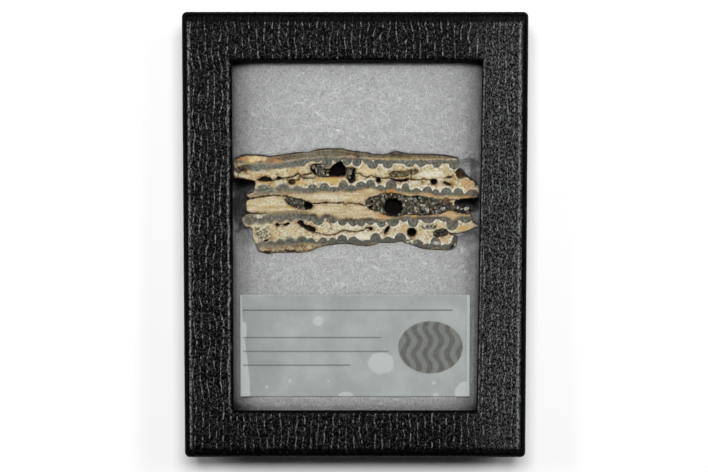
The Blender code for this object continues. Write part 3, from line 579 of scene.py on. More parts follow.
def band_masks(px, py, wx, wy):
    """The enamel, its pale rim and brown seam, the lighter cement by it, and what lies beyond the bands."""
    shape = {}
    beyond = {}
    for name, band in ENAMEL.items():
        outside_scallop, outside_smooth, ends = band_fields(band, wx, wy)
        beyond[name] = ramp(outside_smooth, 0.0, 1.0)
        past_end = ends * 0.35 + fractal(px / 3.0, py / 3.0, 97, 3) * 0.8 * ramp(ends, -9.0, -3.0)
        past_smooth = outside_smooth * SMOOTH_EDGE + fractal(px / 1.4, py / 5.0, 99, 3) * 0.5
        blur = 0.6 + 1.3 * ramp(px, *BLURRED_ENAMEL)
        within = ramp(np.maximum(np.maximum(outside_scallop, past_smooth), past_end), blur, -blur)
        widen(shape, "enamel", within)
        rim = ramp(outside_scallop, 2.1, 0.6) * ramp(outside_scallop, -0.5, 0.1)
        rim = rim * (0.1 + 0.9 * ramp(px, *PALE_RIM))
        widen(shape, "rim", rim * ramp(outside_smooth, 1.0, -0.5) * ramp(ends, 1.0, -1.0))
        seam = ramp(np.abs(outside_smooth - 0.1), 2.8, 0.2) * ramp(outside_scallop, 0.0, -1.0)
        widen(shape, "seam", seam * SEAM_SHARE[name])
        widen(shape, "halo", ramp(outside_scallop, 4.5, 0.5) * ramp(outside_smooth, 1.0, -0.5))
        from_tip = np.clip(-outside_scallop / LOBE_REACH, 0, 1)
        widen(shape, "lobe", np.maximum(from_tip, 0.28 * ramp(px, *PLAIN_LOBES)) * within)
    turn = line_distance(wx, wy, BAND_TURN)
    widen(shape, "enamel", ramp(turn, 2.6, 1.9))
    widen(shape, "rim", ramp(turn, 4.2, 3.2) * ramp(turn, 2.0, 2.7) * ramp(wx, *TURN_RIM))
    widen(shape, "halo", 0.75 * ramp(py, *PALE_BELOW) * ramp(px, *PALE_RIGHT))
    for name in ("rim", "halo"):
        shape[name] = shape[name] * (1 - shape["enamel"])
    shape["outer"] = np.maximum(beyond["first"] * (py < UPPER_PART), beyond["fourth"] * (py > FRINGE[0]))
    shape["fringe"] = ramp(py, *FRINGE)
    shape["dentine"] = beyond["second"] * beyond["third"]
    return shape


def crack_mask(px, py):
    """The cracks, with wavering edges, and the distance to the nearest of them."""
    jagged_x = px + fractal(px / 1.6, py / 1.6, 5, 3) * 0.7
    jagged_y = py + fractal(px / 1.7, py / 1.7, 9, 3) * 0.7
    uneven = 0.55 + 0.25 * fractal(px / 3.0, py / 3.0, 3, 2)
    cracks = np.zeros(px.shape)
    near = np.full(px.shape, FAR)
    for points, width in CRACKS:
        half = width * uneven
        distance = line_distance(jagged_x, jagged_y, points)
        cracks = np.maximum(cracks, ramp(distance, half + 0.45, half * 0.35))
        near = np.minimum(near, line_distance(px, py, points))
    return cracks, near


def add_hollows(shape, depth, near, px, py):
    """Adds the hollows and holes to the masks, and gives the new depth and the nearest one's distance."""
    edge_noise = fractal(px / 2.2, py / 2.2, 53, 4) * 0.8
    rough = 1 + 0.25 * fractal(px / 2.0, py / 2.0, 61, 4)
    for name, (points, full, lining) in HOLLOWS.items():
        distance = shape_distance(px, py, points) + edge_noise
        near = np.minimum(near, np.maximum(distance, 0.0))
        opened = ramp(distance, 0.35, -0.7)
        floor = full if lining is None else lining + UNDER_LINING
        depth = np.maximum(depth, opened * floor * rough)
        widen(shape, "hollow", opened)
        if lining is not None:
            widen(shape, "crust", opened)
        # Painted shade: the black and dark hollows are coloured near black
        if name in BLACK_HOLLOWS:
            widen(shape, "hole", ramp(distance, 0.3, -0.7))
        if name in DARK_HOLLOWS:
            widen(shape, "hole", ramp(distance, 0.2, -0.9) * 0.85)
    for hole in HOLES:
        full = hole[-1] * MM
        distance = oval_distance(px, py, hole) + edge_noise * min(0.6, hole[3] * 0.2)
        near = np.minimum(near, np.maximum(distance, 0.0))
        opened = ramp(distance, 0.3, -0.5)
        depth = np.maximum(depth, opened * full)
        widen(shape, "hollow", opened)
        # Painted shade: the deeper a hole, the blacker it is coloured
        widen(shape, "hole", opened * ramp(full, 0.4 * MM, 1.2 * MM))
    shape["crust"] = shape["crust"] * (1 - shape["hole"])
    return depth, near


def add_rough_patches(shape, depth, px, py):
    """Adds the pale lumps and the pits of the rough patches, and gives the new depth."""
    patches = np.zeros(px.shape)
    pale = np.zeros(px.shape)
    for x, y, half_width, half_height, share in ROUGH_PATCHES:
        inside = ramp(spot_distance(px, py, x, y, half_width, half_height), 1.15, 0.65)
        patches = np.maximum(patches, inside)
        pale = np.maximum(pale, inside * share)
    lumps = fractal(px, py, 71, 4)
    shape["lumps"] = pale * ramp(lumps, -0.05, 0.15)
    shape["pits"] = patches * ramp(lumps, 0.2, -0.2)
    return np.maximum(depth, shape["pits"] * PIT_DEPTH)


def stain_colours(px, py, wx, wy):
    """The stains laid over each other: their colour, and how much of the ground they cover."""
    ragged = 0.45 * fractal(px / 3.0, py / 2.0, 83, 4)
    stains = np.zeros(px.shape + (4,))
    for x, y, half_width, half_height, colour, strength in STAINS:
        away = spot_distance(wx, wy, x, y, half_width, half_height) + ragged
        share = ramp(away, 1.15, 0.35) * strength
        kept = stains[..., 3] * (1 - share)
        total = np.maximum(kept + share, 1e-6)
        for i in range(3):
            stains[..., i] = (stains[..., i] * kept + colour[i] * share) / total
        stains[..., 3] = total
    return stains


def face_fields(px, py):
    """What the polished face shows at each point, as masks from 0 to 1, and how deep it is hollowed out."""
    wx = px + fractal(px / 5.0, py / 5.0, 31, 3) * 0.55
    wy = py + fractal(px / 4.0, py / 4.0, 37, 3) * 0.5
    shape = band_masks(px, py, wx, wy)
    shape["crack"], near = crack_mask(px, py)
    depth, near = add_hollows(shape, shape["crack"] * CRACK_DEPTH, near, px, py)
    depth = add_rough_patches(shape, depth, px, py)
    shape["near"] = ramp(near, 3.6, 0.2)
    shape["outline"] = -shape_distance(px, py, OUTLINE)
    shape["stains"] = stain_colours(px, py, wx, wy)
    shape["stained"] = shape["stains"][..., 3]
    return shape, depth


def to_face(px, py):
    x = (px - PHOTO_MIDDLE[0]) * PIXEL
    y = SLICE_MIDDLE_Y + (PHOTO_MIDDLE[1] - py) * PIXEL
    return x, y


def to_photo(x, y):
    px = PHOTO_MIDDLE[0] + x / PIXEL
    py = PHOTO_MIDDLE[1] - (y - SLICE_MIDDLE_Y) / PIXEL
    return px, py


def slice_grid(low, high):
    """A grid over the slice whose points near the outline are moved onto it, and the squares inside it."""
    xs = np.arange(low.x - FACE_STEP, high.x + FACE_STEP, FACE_STEP)
    ys = np.arange(low.y - FACE_STEP, high.y + FACE_STEP, FACE_STEP)
    gx, gy = np.meshgrid(xs, ys)
    px, py = to_photo(gx, gy)

    def outside(qx, qy):
        return shape_distance(qx, qy, OUTLINE) + 0.3 + 0.85 * fractal(qx / 3.2, qy / 3.2, 91, 4)

    distance = outside(px, py)
    reach = FACE_STEP / PIXEL
    near = np.abs(distance) < 0.62 * reach
    for _ in range(2):
        here = outside(px[near], py[near])
        slope_x = (outside(px[near] + 0.2, py[near]) - outside(px[near] - 0.2, py[near])) / 0.4
        slope_y = (outside(px[near], py[near] + 0.2) - outside(px[near], py[near] - 0.2)) / 0.4
        size = np.maximum(slope_x ** 2 + slope_y ** 2, 0.3)
        px[near] -= np.clip(here * slope_x / size, -0.5, 0.5)
        py[near] -= np.clip(here * slope_y / size, -0.5, 0.5)
    kept = (distance < 0) | near
    squares = kept[:-1, :-1] & kept[1:, :-1] & kept[:-1, 1:] & kept[1:, 1:]
    core = (distance < -0.2 * reach)
    solid = core[:-1, :-1] | core[1:, :-1] | core[:-1, 1:] | core[1:, 1:]
    return px, py, squares & solid


def largest_region(squares):
    """Only the squares that hang together by their sides with one near the slice's middle."""
    reached = np.zeros_like(squares)
    rows, columns = squares.shape
    start = int(rows * START_ROW), columns // 2
    reached[start] = squares[start]
    while True:
        grown = reached.copy()
        grown[1:] |= reached[:-1]
        grown[:-1] |= reached[1:]
        grown[:, 1:] |= reached[:, :-1]
        grown[:, :-1] |= reached[:, 1:]
        grown &= squares
        if (grown == reached).all():
            return reached
        reached = grown


def slice_sides(face, loops, low_z, high_z):
    """Rings below the face's rim, set in by a worn edge: their points, the rim point each hangs from, how
    much of the face's marks it keeps, and the faces between the rings."""
    points = []
    hung_from = []
    kept = []
    faces = []
    total = len(face)
    for loop in loops:
        ring = np.array(loop)
        rim = face[ring]
        along = np.roll(rim[:, :2], -3, axis=0) - np.roll(rim[:, :2], 3, axis=0)
        length = np.maximum(np.hypot(along[:, 0], along[:, 1]), 1e-9)
        to_inside = np.column_stack([-along[:, 1] / length, along[:, 0] / length])
        above = ring
        for level in SIDE_LEVELS:
            worn = 0.25 + 0.25 * fractal(rim[:, 0] / MM * 1.3, rim[:, 1] / MM * 1.3 + level * 7, 13, 3)
            inward = worn * MM * min(1, level * 4)
            place = rim[:, :2] + to_inside * inward[:, None]
            z = high_z - RIM_DROP + (low_z - high_z + RIM_DROP) * level
            z = np.minimum(z, rim[:, 2] - 0.03 * MM * (level * 10))
            points.append(np.column_stack([place, np.maximum(z, low_z)]))
            hung_from.append(ring)
            kept.append(np.full(len(ring), 1.0 if level < 0.3 else 0.4))
            below = np.arange(total, total + len(ring))
            total += len(ring)
            faces += np.stack([above, below, np.roll(below, -1), np.roll(above, -1)], 1).tolist()
            above = below
        faces.append(above.tolist())
    return np.concatenate(points), np.concatenate(hung_from), np.concatenate(kept), faces


def make_slice():
    """The slice: its face as a fine grid with hollows and cracks, worn sides and a plain back."""
    low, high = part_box("molar_slice")
    px, py, squares = slice_grid(low, high)
    squares = largest_region(squares)
    used = np.zeros(px.shape, bool)
    for rows in (slice(None, -1), slice(1, None)):
        for columns in (slice(None, -1), slice(1, None)):
            used[rows, columns] |= squares
    count = np.full(px.shape, -1)
    count[used] = np.arange(used.sum())
    px = px[used]
    py = py[used]
    shape, depth = face_fields(px, py)
    x, y = to_face(px, py)
    relief = 0.03 * MM * shape["enamel"] + 0.012 * MM * fractal(px / 1.5, py / 1.5, 7, 3)
    edge_wear = ramp(shape["outline"], 1.2, 0.0) * 0.12 * MM
    face = np.stack([x, y, high.z - 0.05 * MM - depth - edge_wear + relief], 1)
    rows, columns = np.nonzero(squares)
    quads = np.stack([count[rows, columns], count[rows, columns + 1], count[rows + 1, columns + 1],
                      count[rows + 1, columns]], 1)
    sides, hung_from, kept, side_faces = slice_sides(face, boundary_loops(quads), low.z, high.z)
    mesh = mesh_from("tooth_slice", np.concatenate([face, sides]).tolist(), quads.tolist() + side_faces)
    stains = shape.pop("stains")
    set_colours(mesh, "stains", np.concatenate([stains, stains[hung_from]]))
    for name, values in shape.items():
        set_values(mesh, name, np.concatenate([values, values[hung_from] * kept]))
    piece = add_object("tooth_slice", mesh)
    mesh.materials.append(slice_material())
    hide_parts("molar_slice")
    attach(piece, "root")


def boundary_loops(quads):
    """The closed chains of edges that only one square has, each in order."""
    following = {}
    edges = set()
    for quad in quads.tolist():
        for i in range(4):
            edges.add((quad[i], quad[(i + 1) % 4]))
    for a, b in edges:
        if (b, a) not in edges:
            following.setdefault(a, []).append(b)
    loops = []
    while following:
        start = next(iter(following))
        loop = [start]
        at = start
        while True:
            onward = following[at]
            nearest = onward.pop()
            if not onward:
                del following[at]
            if nearest == start:
                break
            loop.append(nearest)
            at = nearest
        loops.append(loop)
    return loops


class Nodes:
    """Adds nodes to one material, each wired to what it is given."""

    def __init__(self, name):
        self.material = bpy.data.materials.new(name)
        self.material.use_nodes = True
        self.tree = self.material.node_tree
        self.shader = self.tree.nodes["Principled BSDF"]

    def put(self, socket, value):
        if isinstance(value, bpy.types.NodeSocket):
            self.tree.links.new(value, socket)
        elif isinstance(value, tuple) and len(value) == 3 and socket.type == "RGBA":
            socket.default_value = (*value, 1.0)
        else:
            socket.default_value = value

    def set(self, name, value):
        self.put(self.shader.inputs[name], value)

    def add(self, kind, inputs, output, **settings):
        """A new node of this kind with these inputs and settings. Gives one of its outputs."""
        node = self.tree.nodes.new("ShaderNode" + kind)
        for name, value in settings.items():
            setattr(node, name, value)
        for name, value in inputs.items():
            self.put(node.inputs[name], value)
        return node.outputs[output]

    def field(self, name, output="Fac"):
        """What the mesh says under this name."""
        return self.add("Attribute", {}, output, attribute_name=name)

    def place(self, scale=(1.0, 1.0, 1.0)):
        return self.add("Mapping", {"Vector": self.add("TexCoord", {}, "Object"), "Scale": scale}, "Vector")

    def noise(self, per_mm, detail=4.0, stretch=(1.0, 1.0, 1.0), distortion=0.0, output="Fac"):
        inputs = {"Vector": self.place(stretch), "Scale": per_mm / MM, "Detail": detail}
        return self.add("TexNoise", {**inputs, "Distortion": distortion}, output)

    def edges(self, per_mm, stretch, warp_mm):
        """Distance in cells to the nearest edge between cells, in a place that wavers by warp_mm."""
        waver = self.noise(0.45, 3.0, output="Color")
        shift = self.add("VectorMath", {0: waver, 1: (warp_mm * MM,) * 3, 2: self.place(stretch)}, 0,
                         operation="MULTIPLY_ADD")
        return self.add("TexVoronoi", {"Vector": shift, "Scale": per_mm / MM}, "Distance",
                        feature="DISTANCE_TO_EDGE")

    def lines(self, spacing_mm, waver_mm):
        """Distance in millimetres to the nearest of wavering lines along y that go on down the walls."""
        x, z = (self.add("SeparateXYZ", {0: self.place()}, axis) for axis in "XZ")
        level = self.math("DIVIDE", self.math("ADD", x, z), spacing_mm * MM)
        level = self.math("ADD", level, self.times(self.noise(0.13, 4.0), waver_mm / spacing_mm))
        away = self.math("ABSOLUTE", self.math("SUBTRACT", self.math("FRACT", level), 0.5))
        return self.times(away, spacing_mm)

    def math(self, operation, a, b=0.0):
        return self.add("Math", {0: a, 1: b}, 0, operation=operation)

    def times(self, a, b):
        return self.math("MULTIPLY", a, b)

    def fit(self, value, low, high, to_low=0.0, to_high=1.0):
        limits = {"From Min": low, "From Max": high, "To Min": to_low, "To Max": to_high}
        return self.add("MapRange", {"Value": value, **limits}, "Result")

    def mix(self, share, a, b):
        return self.add("Mix", {"Factor": share, 6: a, 7: b}, 2, data_type="RGBA")

    def over(self, colour, *layers):
        """The colour with layers over it. Each is where it shows, how strongly, and its own colour."""
        for where, strength, layer in layers:
            colour = self.mix(self.times(where, strength), colour, layer)
        return colour

    def bump(self, height, distance_mm, strength=1.0):
        inputs = {"Height": height, "Distance": distance_mm * MM, "Strength": strength}
        self.set("Normal", self.add("Bump", inputs, "Normal"))


def cement_colour(n, fine, grit, broad, blotch, spots):
    warm = n.fit(n.noise(0.5, 5.0, distortion=1.2), 0.5, 0.64)
    return n.over(n.mix(blotch, (0.555, 0.51, 0.335), (0.4, 0.305, 0.14)),
                  (broad, 0.5, (0.57, 0.525, 0.37)),
                  (n.field("halo"), n.fit(fine, 0, 1, 0.2, 0.8), (0.62, 0.6, 0.49)),
                  (grit, 0.7, (0.22, 0.16, 0.075)),
                  (warm, 0.6, (0.37, 0.235, 0.085)),
                  (spots, 0.7, (0.09, 0.05, 0.02)))


def dentine_colour(n, fine, grit, broad):
    along = n.fit(n.noise(1.5, 6.0, (0.15, 1.0, 1.0), 0.4), 0.34, 0.66)
    return n.over(n.mix(along, (0.565, 0.51, 0.35), (0.37, 0.285, 0.14)),
                  (fine, 0.35, (0.62, 0.57, 0.43)),
                  (n.times(broad, along), 0.5, (0.37, 0.23, 0.09)),
                  (grit, 0.45, (0.25, 0.17, 0.07)))


def outer_colour(n, grit, blotch, across):
    """Outside the bands: dark along the slice's upper edge, a paler fringe along its lower one."""
    outer = n.over(n.mix(across, (0.2, 0.175, 0.11), (0.06, 0.048, 0.026)),
                   (blotch, 0.4, (0.17, 0.11, 0.05)),
                   (grit, 0.75, (0.028, 0.018, 0.009)))
    fringe = n.over(n.mix(blotch, (0.52, 0.44, 0.27), (0.2, 0.12, 0.05)), (grit, 0.5, (0.06, 0.03, 0.014)))
    return n.mix(n.field("fringe"), outer, fringe)


def enamel_colour(n, fine, grit, broad, spots, across):
    """Blue-grey, with a pale arc inside each lobe and a dark skin round it."""
    lobe = n.field("lobe")
    pale_arc = n.times(n.fit(lobe, 0.12, 0.3), n.fit(lobe, 0.62, 0.36))
    cloudy = n.fit(n.noise(0.35, 4.0, distortion=0.6), 0.5, 0.66)
    core = n.mix(n.fit(n.noise(0.2, 3.0), 0.42, 0.58), (0.062, 0.074, 0.046), (0.08, 0.062, 0.05))
    core = n.over(core,
                  (across, 0.55, (0.17, 0.175, 0.14)),
                  (pale_arc, n.fit(broad, 0.0, 1.0, 0.2, 0.9), (0.145, 0.16, 0.15)))
    return n.over(n.mix(n.fit(lobe, 0.28, 0.06, 0.0, 0.9), core, (0.05, 0.052, 0.056)),
                  (n.field("seam"), n.fit(fine, 0, 1, 0.3, 0.85), (0.1, 0.066, 0.03)),
                  (grit, 0.8, (0.022, 0.021, 0.015)),
                  (n.fit(fine, 0.5, 1.0), 0.22, (0.3, 0.295, 0.24)),
                  (spots, 0.4, (0.3, 0.29, 0.25)),
                  (cloudy, 0.45, (0.12, 0.1, 0.055)),
                  (n.field("fringe"), 0.45, (0.045, 0.054, 0.05)))


def slice_material():
    """Cream cement and dentine, blue-grey enamel, stains, cracks, what lies in the hollows, and painted shade
    in deep holes.
    """
    n = Nodes("polished_tooth")
    fine = n.fit(n.noise(1.35, 6.0), 0.38, 0.62)
    grit = n.fit(n.noise(2.1, 4.0), 0.45, 0.64)
    broad = n.fit(n.noise(0.42, 4.0, distortion=0.8), 0.38, 0.62)
    blotch = n.fit(n.noise(1.0, 5.0, distortion=1.0), 0.42, 0.62)
    across = n.fit(n.noise(1.5, 5.0, (1.0, 0.25, 1.0), 0.3), 0.38, 0.62)
    spots = n.fit(n.noise(1.5, 2.0), 0.6, 0.67)
    cement = cement_colour(n, fine, grit, broad, blotch, spots)
    colour = n.mix(n.field("dentine"), cement, dentine_colour(n, fine, grit, broad))
    colour = n.mix(n.field("outer"), colour, outer_colour(n, grit, blotch, across))
    colour = n.over(colour,
                    (n.field("near"), n.fit(blotch, 0, 1, 0.15, 0.9), (0.2, 0.1, 0.03)),
                    (n.field("seam"), n.fit(fine, 0, 1, 0.3, 0.8), (0.2, 0.11, 0.04)))
    colour = n.mix(n.field("enamel"), colour, enamel_colour(n, fine, grit, broad, spots, across))
    worn_edge = n.fit(n.field("outline"), 2.0, 0.3)
    colour = n.over(colour,
                    (n.field("rim"), n.fit(fine, 0, 1, 0.1, 0.85), (0.66, 0.64, 0.55)),
                    (n.field("stained"), n.fit(fine, 0, 1, 0.6, 1.45), n.field("stains", "Color")),
                    (n.field("lumps"), n.fit(fine, 0, 1, 0.5, 0.9), (0.58, 0.56, 0.46)))
    colour = n.mix(n.field("pits"), colour, (0.1, 0.1, 0.062))
    colour = n.over(colour, (worn_edge, n.fit(broad, 0.3, 0.8, 0.0, 1.0), (0.055, 0.035, 0.018)))
    colour = n.mix(n.field("hollow"), colour, n.mix(fine, (0.006, 0.004, 0.003), (0.07, 0.04, 0.018)))
    colour = n.mix(n.field("crust"), colour, n.mix(grit, (0.009, 0.008, 0.005), (0.04, 0.036, 0.024)))
    colour = n.mix(n.field("crack"), colour, (0.014, 0.008, 0.005))
    # Painted shade in the deep holes and the black and dark hollows
    colour = n.mix(n.field("hole"), colour, (0.0025, 0.0018, 0.0014))
    n.set("Base Color", colour)
    n.set("Roughness", n.fit(n.math("MAXIMUM", n.field("hollow"), n.field("crack")), 0, 1, 0.3, 0.9))
    n.set("Specular IOR Level", 0.12)
    n.bump(n.math("ADD", n.times(fine, 0.5), n.times(grit, 0.4)), 0.03, 0.5)
    return n.material


def crystal(size, height, tilt, turn, chance):
    """A six-sided prism with a pointed end: points and faces."""
    sides = 6
    points = []
    squeeze = 1 + chance.uniform(-0.25, 0.25, sides)
    for z, radius in ((-0.4, 0.9), (height * 0.55, 1.0)):
        for i in range(sides):
            angle = 2 * math.pi * i / sides
            away = size * radius * squeeze[i]
            points.append((away * math.cos(angle), away * math.sin(angle), size * z))
    points.append((size * chance.uniform(-0.3, 0.3), size * chance.uniform(-0.3, 0.3), size * height))
    points = np.array(points)
    points = points @ rotation(turn, tilt).T
    faces = [tuple(range(sides - 1, -1, -1))]
    for i in range(sides):
        j = (i + 1) % sides
        faces.append((i, j, sides + j, sides + i))
        faces.append((sides + i, sides + j, 2 * sides))
    return points, faces


def rotation(turn, tilt):
    ct, st = math.cos(turn), math.sin(turn)
    cz, sz = math.cos(tilt), math.sin(tilt)
    about_z = np.array([[ct, -st, 0], [st, ct, 0], [0, 0, 1]])
    about_x = np.array([[1, 0, 0], [0, cz, -sz], [0, sz, cz]])
    return about_z @ about_x


def crystal_spots(chance):
    """Where the crystals stand: pixels, how deep they are sunk, size in pixels, and a colour or None."""
    spots = []
    for points, _, lining in HOLLOWS.values():
        if lining is None:
            continue
        xs, ys = zip(*points)
        gx, gy = np.meshgrid(*(np.arange(min(v), max(v), CRYSTAL_STEP) for v in (xs, ys)))
        gx = gx.ravel() + chance.uniform(-0.5, 0.5, gx.size)
        gy = gy.ravel() + chance.uniform(-0.5, 0.5, gy.size)
        shape, depth = face_fields(gx, gy)
        inside = (shape["crust"] > 0.93) & (shape["outline"] > 0.4) & (shape["hole"] < 0.3)
        for px, py, sunk in zip(gx[inside], gy[inside], depth[inside]):
            bigger = 1.8 if px > COARSE_FROM else 0.4
            size = chance.uniform(0.8, 1.2) + (0.8 + bigger) * chance.random() ** 3
            spots.append((px, py, sunk, size, None))
    for px, py, size in BRIGHT_CRYSTALS:
        for _ in range(CLUSTER):
            dx, dy = chance.uniform(-0.45, 0.45, 2) * size
            spots.append((px + dx, py + dy, 0.3 * MM, size * chance.uniform(0.45, 0.7), BRIGHT))
    return spots


def crystal_tint(chance, px, py, colour):
    """A crystal's colour: drawn by chance unless given, purplish at the right and golden in the tongue."""
    if colour is None:
        colour = CRYSTAL_COLOURS[chance.choice(len(CRYSTAL_COLOURS), p=CRYSTAL_SHARES)]
        if px > PURPLE_FROM:
            colour = [c * t for c, t in zip(colour, PURPLE)]
    shade = chance.uniform(0.75, 1.25)
    if py < UPPER_PART and px > TONGUE_FROM:
        colour = [c * 0.5 + 0.2 * t for c, t in zip(colour, TONGUE)]
    return (colour[0] * shade, colour[1] * shade, colour[2] * shade, 1.0)


def make_crystals():
    """Small crystals all over the lined hollows, and the larger light ones."""
    chance = np.random.default_rng(CRYSTAL_SEED)
    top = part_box("molar_slice")[1].z
    all_points = []
    faces = []
    colours = []
    total = 0
    for px, py, sunk, size, colour in crystal_spots(chance):
        height = chance.uniform(0.8, 2.0)
        points, shape_faces = crystal(size * PIXEL * 0.75, height, chance.uniform(0, 0.9),
                                      chance.uniform(0, 2 * math.pi), chance)
        x, y = to_face(px, py)
        z = min(top - sunk - 0.08 * MM, top - 0.12 * MM - points[:, 2].max())
        all_points.append(points + np.array([x, y, z]))
        faces += [tuple(i + total for i in face) for face in shape_faces]
        total += len(points)
        colours += [crystal_tint(chance, px, py, colour)] * len(points)
    mesh = mesh_from("crystals", np.concatenate(all_points).tolist(), faces, smooth=False)
    set_colours(mesh, "tint", np.array(colours))
    piece = add_object("crystals", mesh)
    n = Nodes("crystals")
    dusty = n.fit(n.noise(6.0, 3.0), 0.35, 0.7, 0.0, 0.5)
    n.set("Base Color", n.mix(dusty, n.field("tint", "Color"), (0.03, 0.025, 0.018)))
    n.set("Roughness", 0.32)
    n.set("Specular IOR Level", 0.4)
    mesh.materials.append(n.material)
    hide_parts(*[name for name in sorted(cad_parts) if name.startswith("crust_")])
    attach(piece, "root")


def rectangle_path(bounds, radius, step, lean=0.0):
    """Points and outward directions round a rectangle, anticlockwise, the same number for any bounds."""
    left, right, bottom, top = bounds
    corners = ((right, bottom, -90), (right, top, 0), (left, top, 90), (left, bottom, 180))
    counts = [round(CASE_LENGTH / step), round(CASE_WIDTH / step)] * 2
    points = []
    directions = []
    for k, (x, y, start) in enumerate(corners):
        middle = np.array([x - math.copysign(radius, x), y - math.copysign(radius, y)])
        for i in range(CORNER_POINTS + 1):
            angle = math.radians(start + 90 * i / CORNER_POINTS)
            out = np.array([math.cos(angle), math.sin(angle)])
            points.append(middle + radius * out)
            directions.append(out)
        nx, ny, _ = corners[(k + 1) % 4]
        next_middle = np.array([nx - math.copysign(radius, nx), ny - math.copysign(radius, ny)])
        out = np.array([math.cos(math.radians(start + 90)), math.sin(math.radians(start + 90))])
        for i in range(1, counts[k]):
            share = i / counts[k]
            points.append(middle * (1 - share) + next_middle * share + radius * out)
            directions.append(out)
    points = np.array(points)
    points[:, 0] -= lean * np.clip(points[:, 0] / right, 0, 1) * (top - points[:, 1]) / (top - bottom)
    return points, np.array(directions)


def leather_relief(u, v):
    """Height from 0 to 1 of the paper's grain at a place in millimetres: wavy, broken ridges along v."""
    sway = fractal(u / 5.0, v / 7.0, 101, 3) * 1.1 + fractal(u / 1.6, v / 2.2, 107, 2) * 0.35
    phase = (u + sway) / GRAIN_SPACING
    ridges = 0.5 + 0.5 * np.cos(2 * math.pi * phase)
    broken = smooth_noise(u / 1.1, v / 1.7, 113)
    fine = smooth_noise(u / 0.5, v / 0.75, 127)
    return np.clip(ridges * (0.35 + 0.65 * broken) + 0.35 * fine, 0, 1)


def lid_rows(low, high):
    """The lid's cross-section from its foot, over its face and back inside, as rings round the case: points,
    height, where each point lies when the paper is laid out flat, and how strong its grain and painted glints
    are."""

    def ring(inset):
        bounds = (low.x + inset, high.x - inset, low.y + inset, high.y - inset)
        return rectangle_path(bounds, max(LID_CORNER - inset, LEAST_CORNER), GRAIN_STEP)

    outer, out = ring(0.0)
    window, window_out = rectangle_path(WINDOW, WINDOW_CORNER, GRAIN_STEP, WINDOW_LEAN)
    rows = []
    wall_top = high.z - LID_ROUND
    for angle in (-90, -60, -30):
        a = math.radians(angle)
        rows.append((outer - out * (LID_FOLD * (1 - math.cos(a))), low.z + LID_FOLD * (1 + math.sin(a)),
                     outer + out * (high.z - low.z), 0.5))
    for z in np.linspace(low.z + LID_FOLD, wall_top, WALL_ROWS)[:-1]:
        rows.append((outer, z, outer + out * (high.z - z), 1.0))
    for angle in np.linspace(0, 84, 8):
        a = math.radians(angle)
        rows.append((ring(LID_ROUND * (1 - math.cos(a)))[0], wall_top + LID_ROUND * math.sin(a),
                     outer + out * LID_ROUND * (1.57 - a), 0.2 + 0.8 * ramp(angle, 58, 84)))
    begin = ring(LID_ROUND)[0]
    finish = window + window_out * LID_LIP
    for share in np.arange(1, TOP_ROWS) / TOP_ROWS:
        points = begin * (1 - share) + finish * share
        rows.append((points, high.z, points, 1.0))
    for angle in np.linspace(90, 0, 8):
        a = math.radians(angle)
        ring_points = window + window_out * (LID_LIP * (1 - math.cos(a)))
        unrolled = window + window_out * LID_LIP * (1 - math.pi / 2 + a)
        rows.append((ring_points, high.z - LID_LIP * (1 - math.sin(a)), unrolled,
                     0.05 + 0.95 * ramp(angle, 40, 85)))
    panel = high.z - LID_PANEL
    inner = ring(LID_WALL)[0]
    rows += [(window, panel + 0.1 * MM, window, 0.0), (window + window_out * 0.3 * MM, panel, window, 0.0),
             (window * 0.35 + inner * 0.65, panel, inner, 0.0), (inner, panel, inner, 0.0),
             (inner, (panel + low.z) / 2, inner, 0.3), (inner, low.z + LID_FOLD, inner, 0.3),
             (inner + out * LID_FOLD / 2, low.z, inner, 0.3)]
    return rows


def mark_lid(mesh, points, unrolled, grain_and_glint, high):
    """Marks on the mesh how strongly the grain's painted glints show, where they turn to brighter painted
    grit on the right, and the painted highlight lines along the outer edges and the window's lip.
    """
    to_end = high.y - np.abs(points[:, 1])
    on_top = points[:, 2] > high.z - 0.4 * LID_ROUND
    # Painted shade: the glints fade out on the rounds at the ends and sides, and are weaker on the walls
    glint_from_end = ramp(to_end, 2.1 * MM, 2.9 * MM)
    glint_from_side = ramp(high.x - np.abs(points[:, 0]), 1.3 * MM, 1.8 * MM)
    grain_and_glint = np.where(on_top, grain_and_glint * (0.1 + 0.9 * glint_from_end * glint_from_side), grain_and_glint * 0.45)
    u = unrolled[:, 0]
    v = unrolled[:, 1]
    # Painted highlights: the right side gets brighter, grittier glints
    set_values(mesh, "right_side_sheen", ramp(u, *RIGHT_SHEEN_FROM) * on_top)
    # The painted glints fade towards both ends of the lid
    fainter = 0.3 * ramp(-v, *FAINT_FROM)
    grain_and_glint = grain_and_glint * (1 - fainter - 0.15 * ramp(v, *FAINT_FROM))
    set_values(mesh, "grain_and_glint", grain_and_glint)
    # Painted highlight lines along the outer edge's round and on the window's lip
    left = ramp(-u, 0.0, 20 * MM)
    from_edge = np.abs(np.abs(points[:, 0]) - (high.x - 1.75 * MM - 0.3 * MM * (1 - left)))
    along_side = ramp(to_end - 2 * MM, 0.0, 1.5 * MM) * (points[:, 2] > high.z - 0.5 * MM)
    edge_glint = ramp(from_edge, 0.3 * MM + 0.2 * MM * (1 - left), 0.03 * MM)
    edge_glint = edge_glint * along_side * (0.45 + 0.45 * left)
    lip_side = ramp(WINDOW[3] + 0.6 * MM - np.abs(v), 0.0, 1 * MM)
    from_lip = np.abs(u - (WINDOW[0] - 1.0 * MM))
    lip_glint = ramp(from_lip, 0.3 * MM, 0.03 * MM) * lip_side * 0.42 * (grain_and_glint > 0.1)
    right_edge = WINDOW[1] - WINDOW_LEAN * (WINDOW[3] - v) / (WINDOW[3] - WINDOW[2])
    right_glint = ramp(np.abs(u - right_edge - 0.34 * MM), 0.3 * MM, 0.05 * MM) * lip_side * 0.6
    set_values(mesh, "painted_glint_lines", np.maximum(edge_glint, np.maximum(lip_glint, right_glint)))


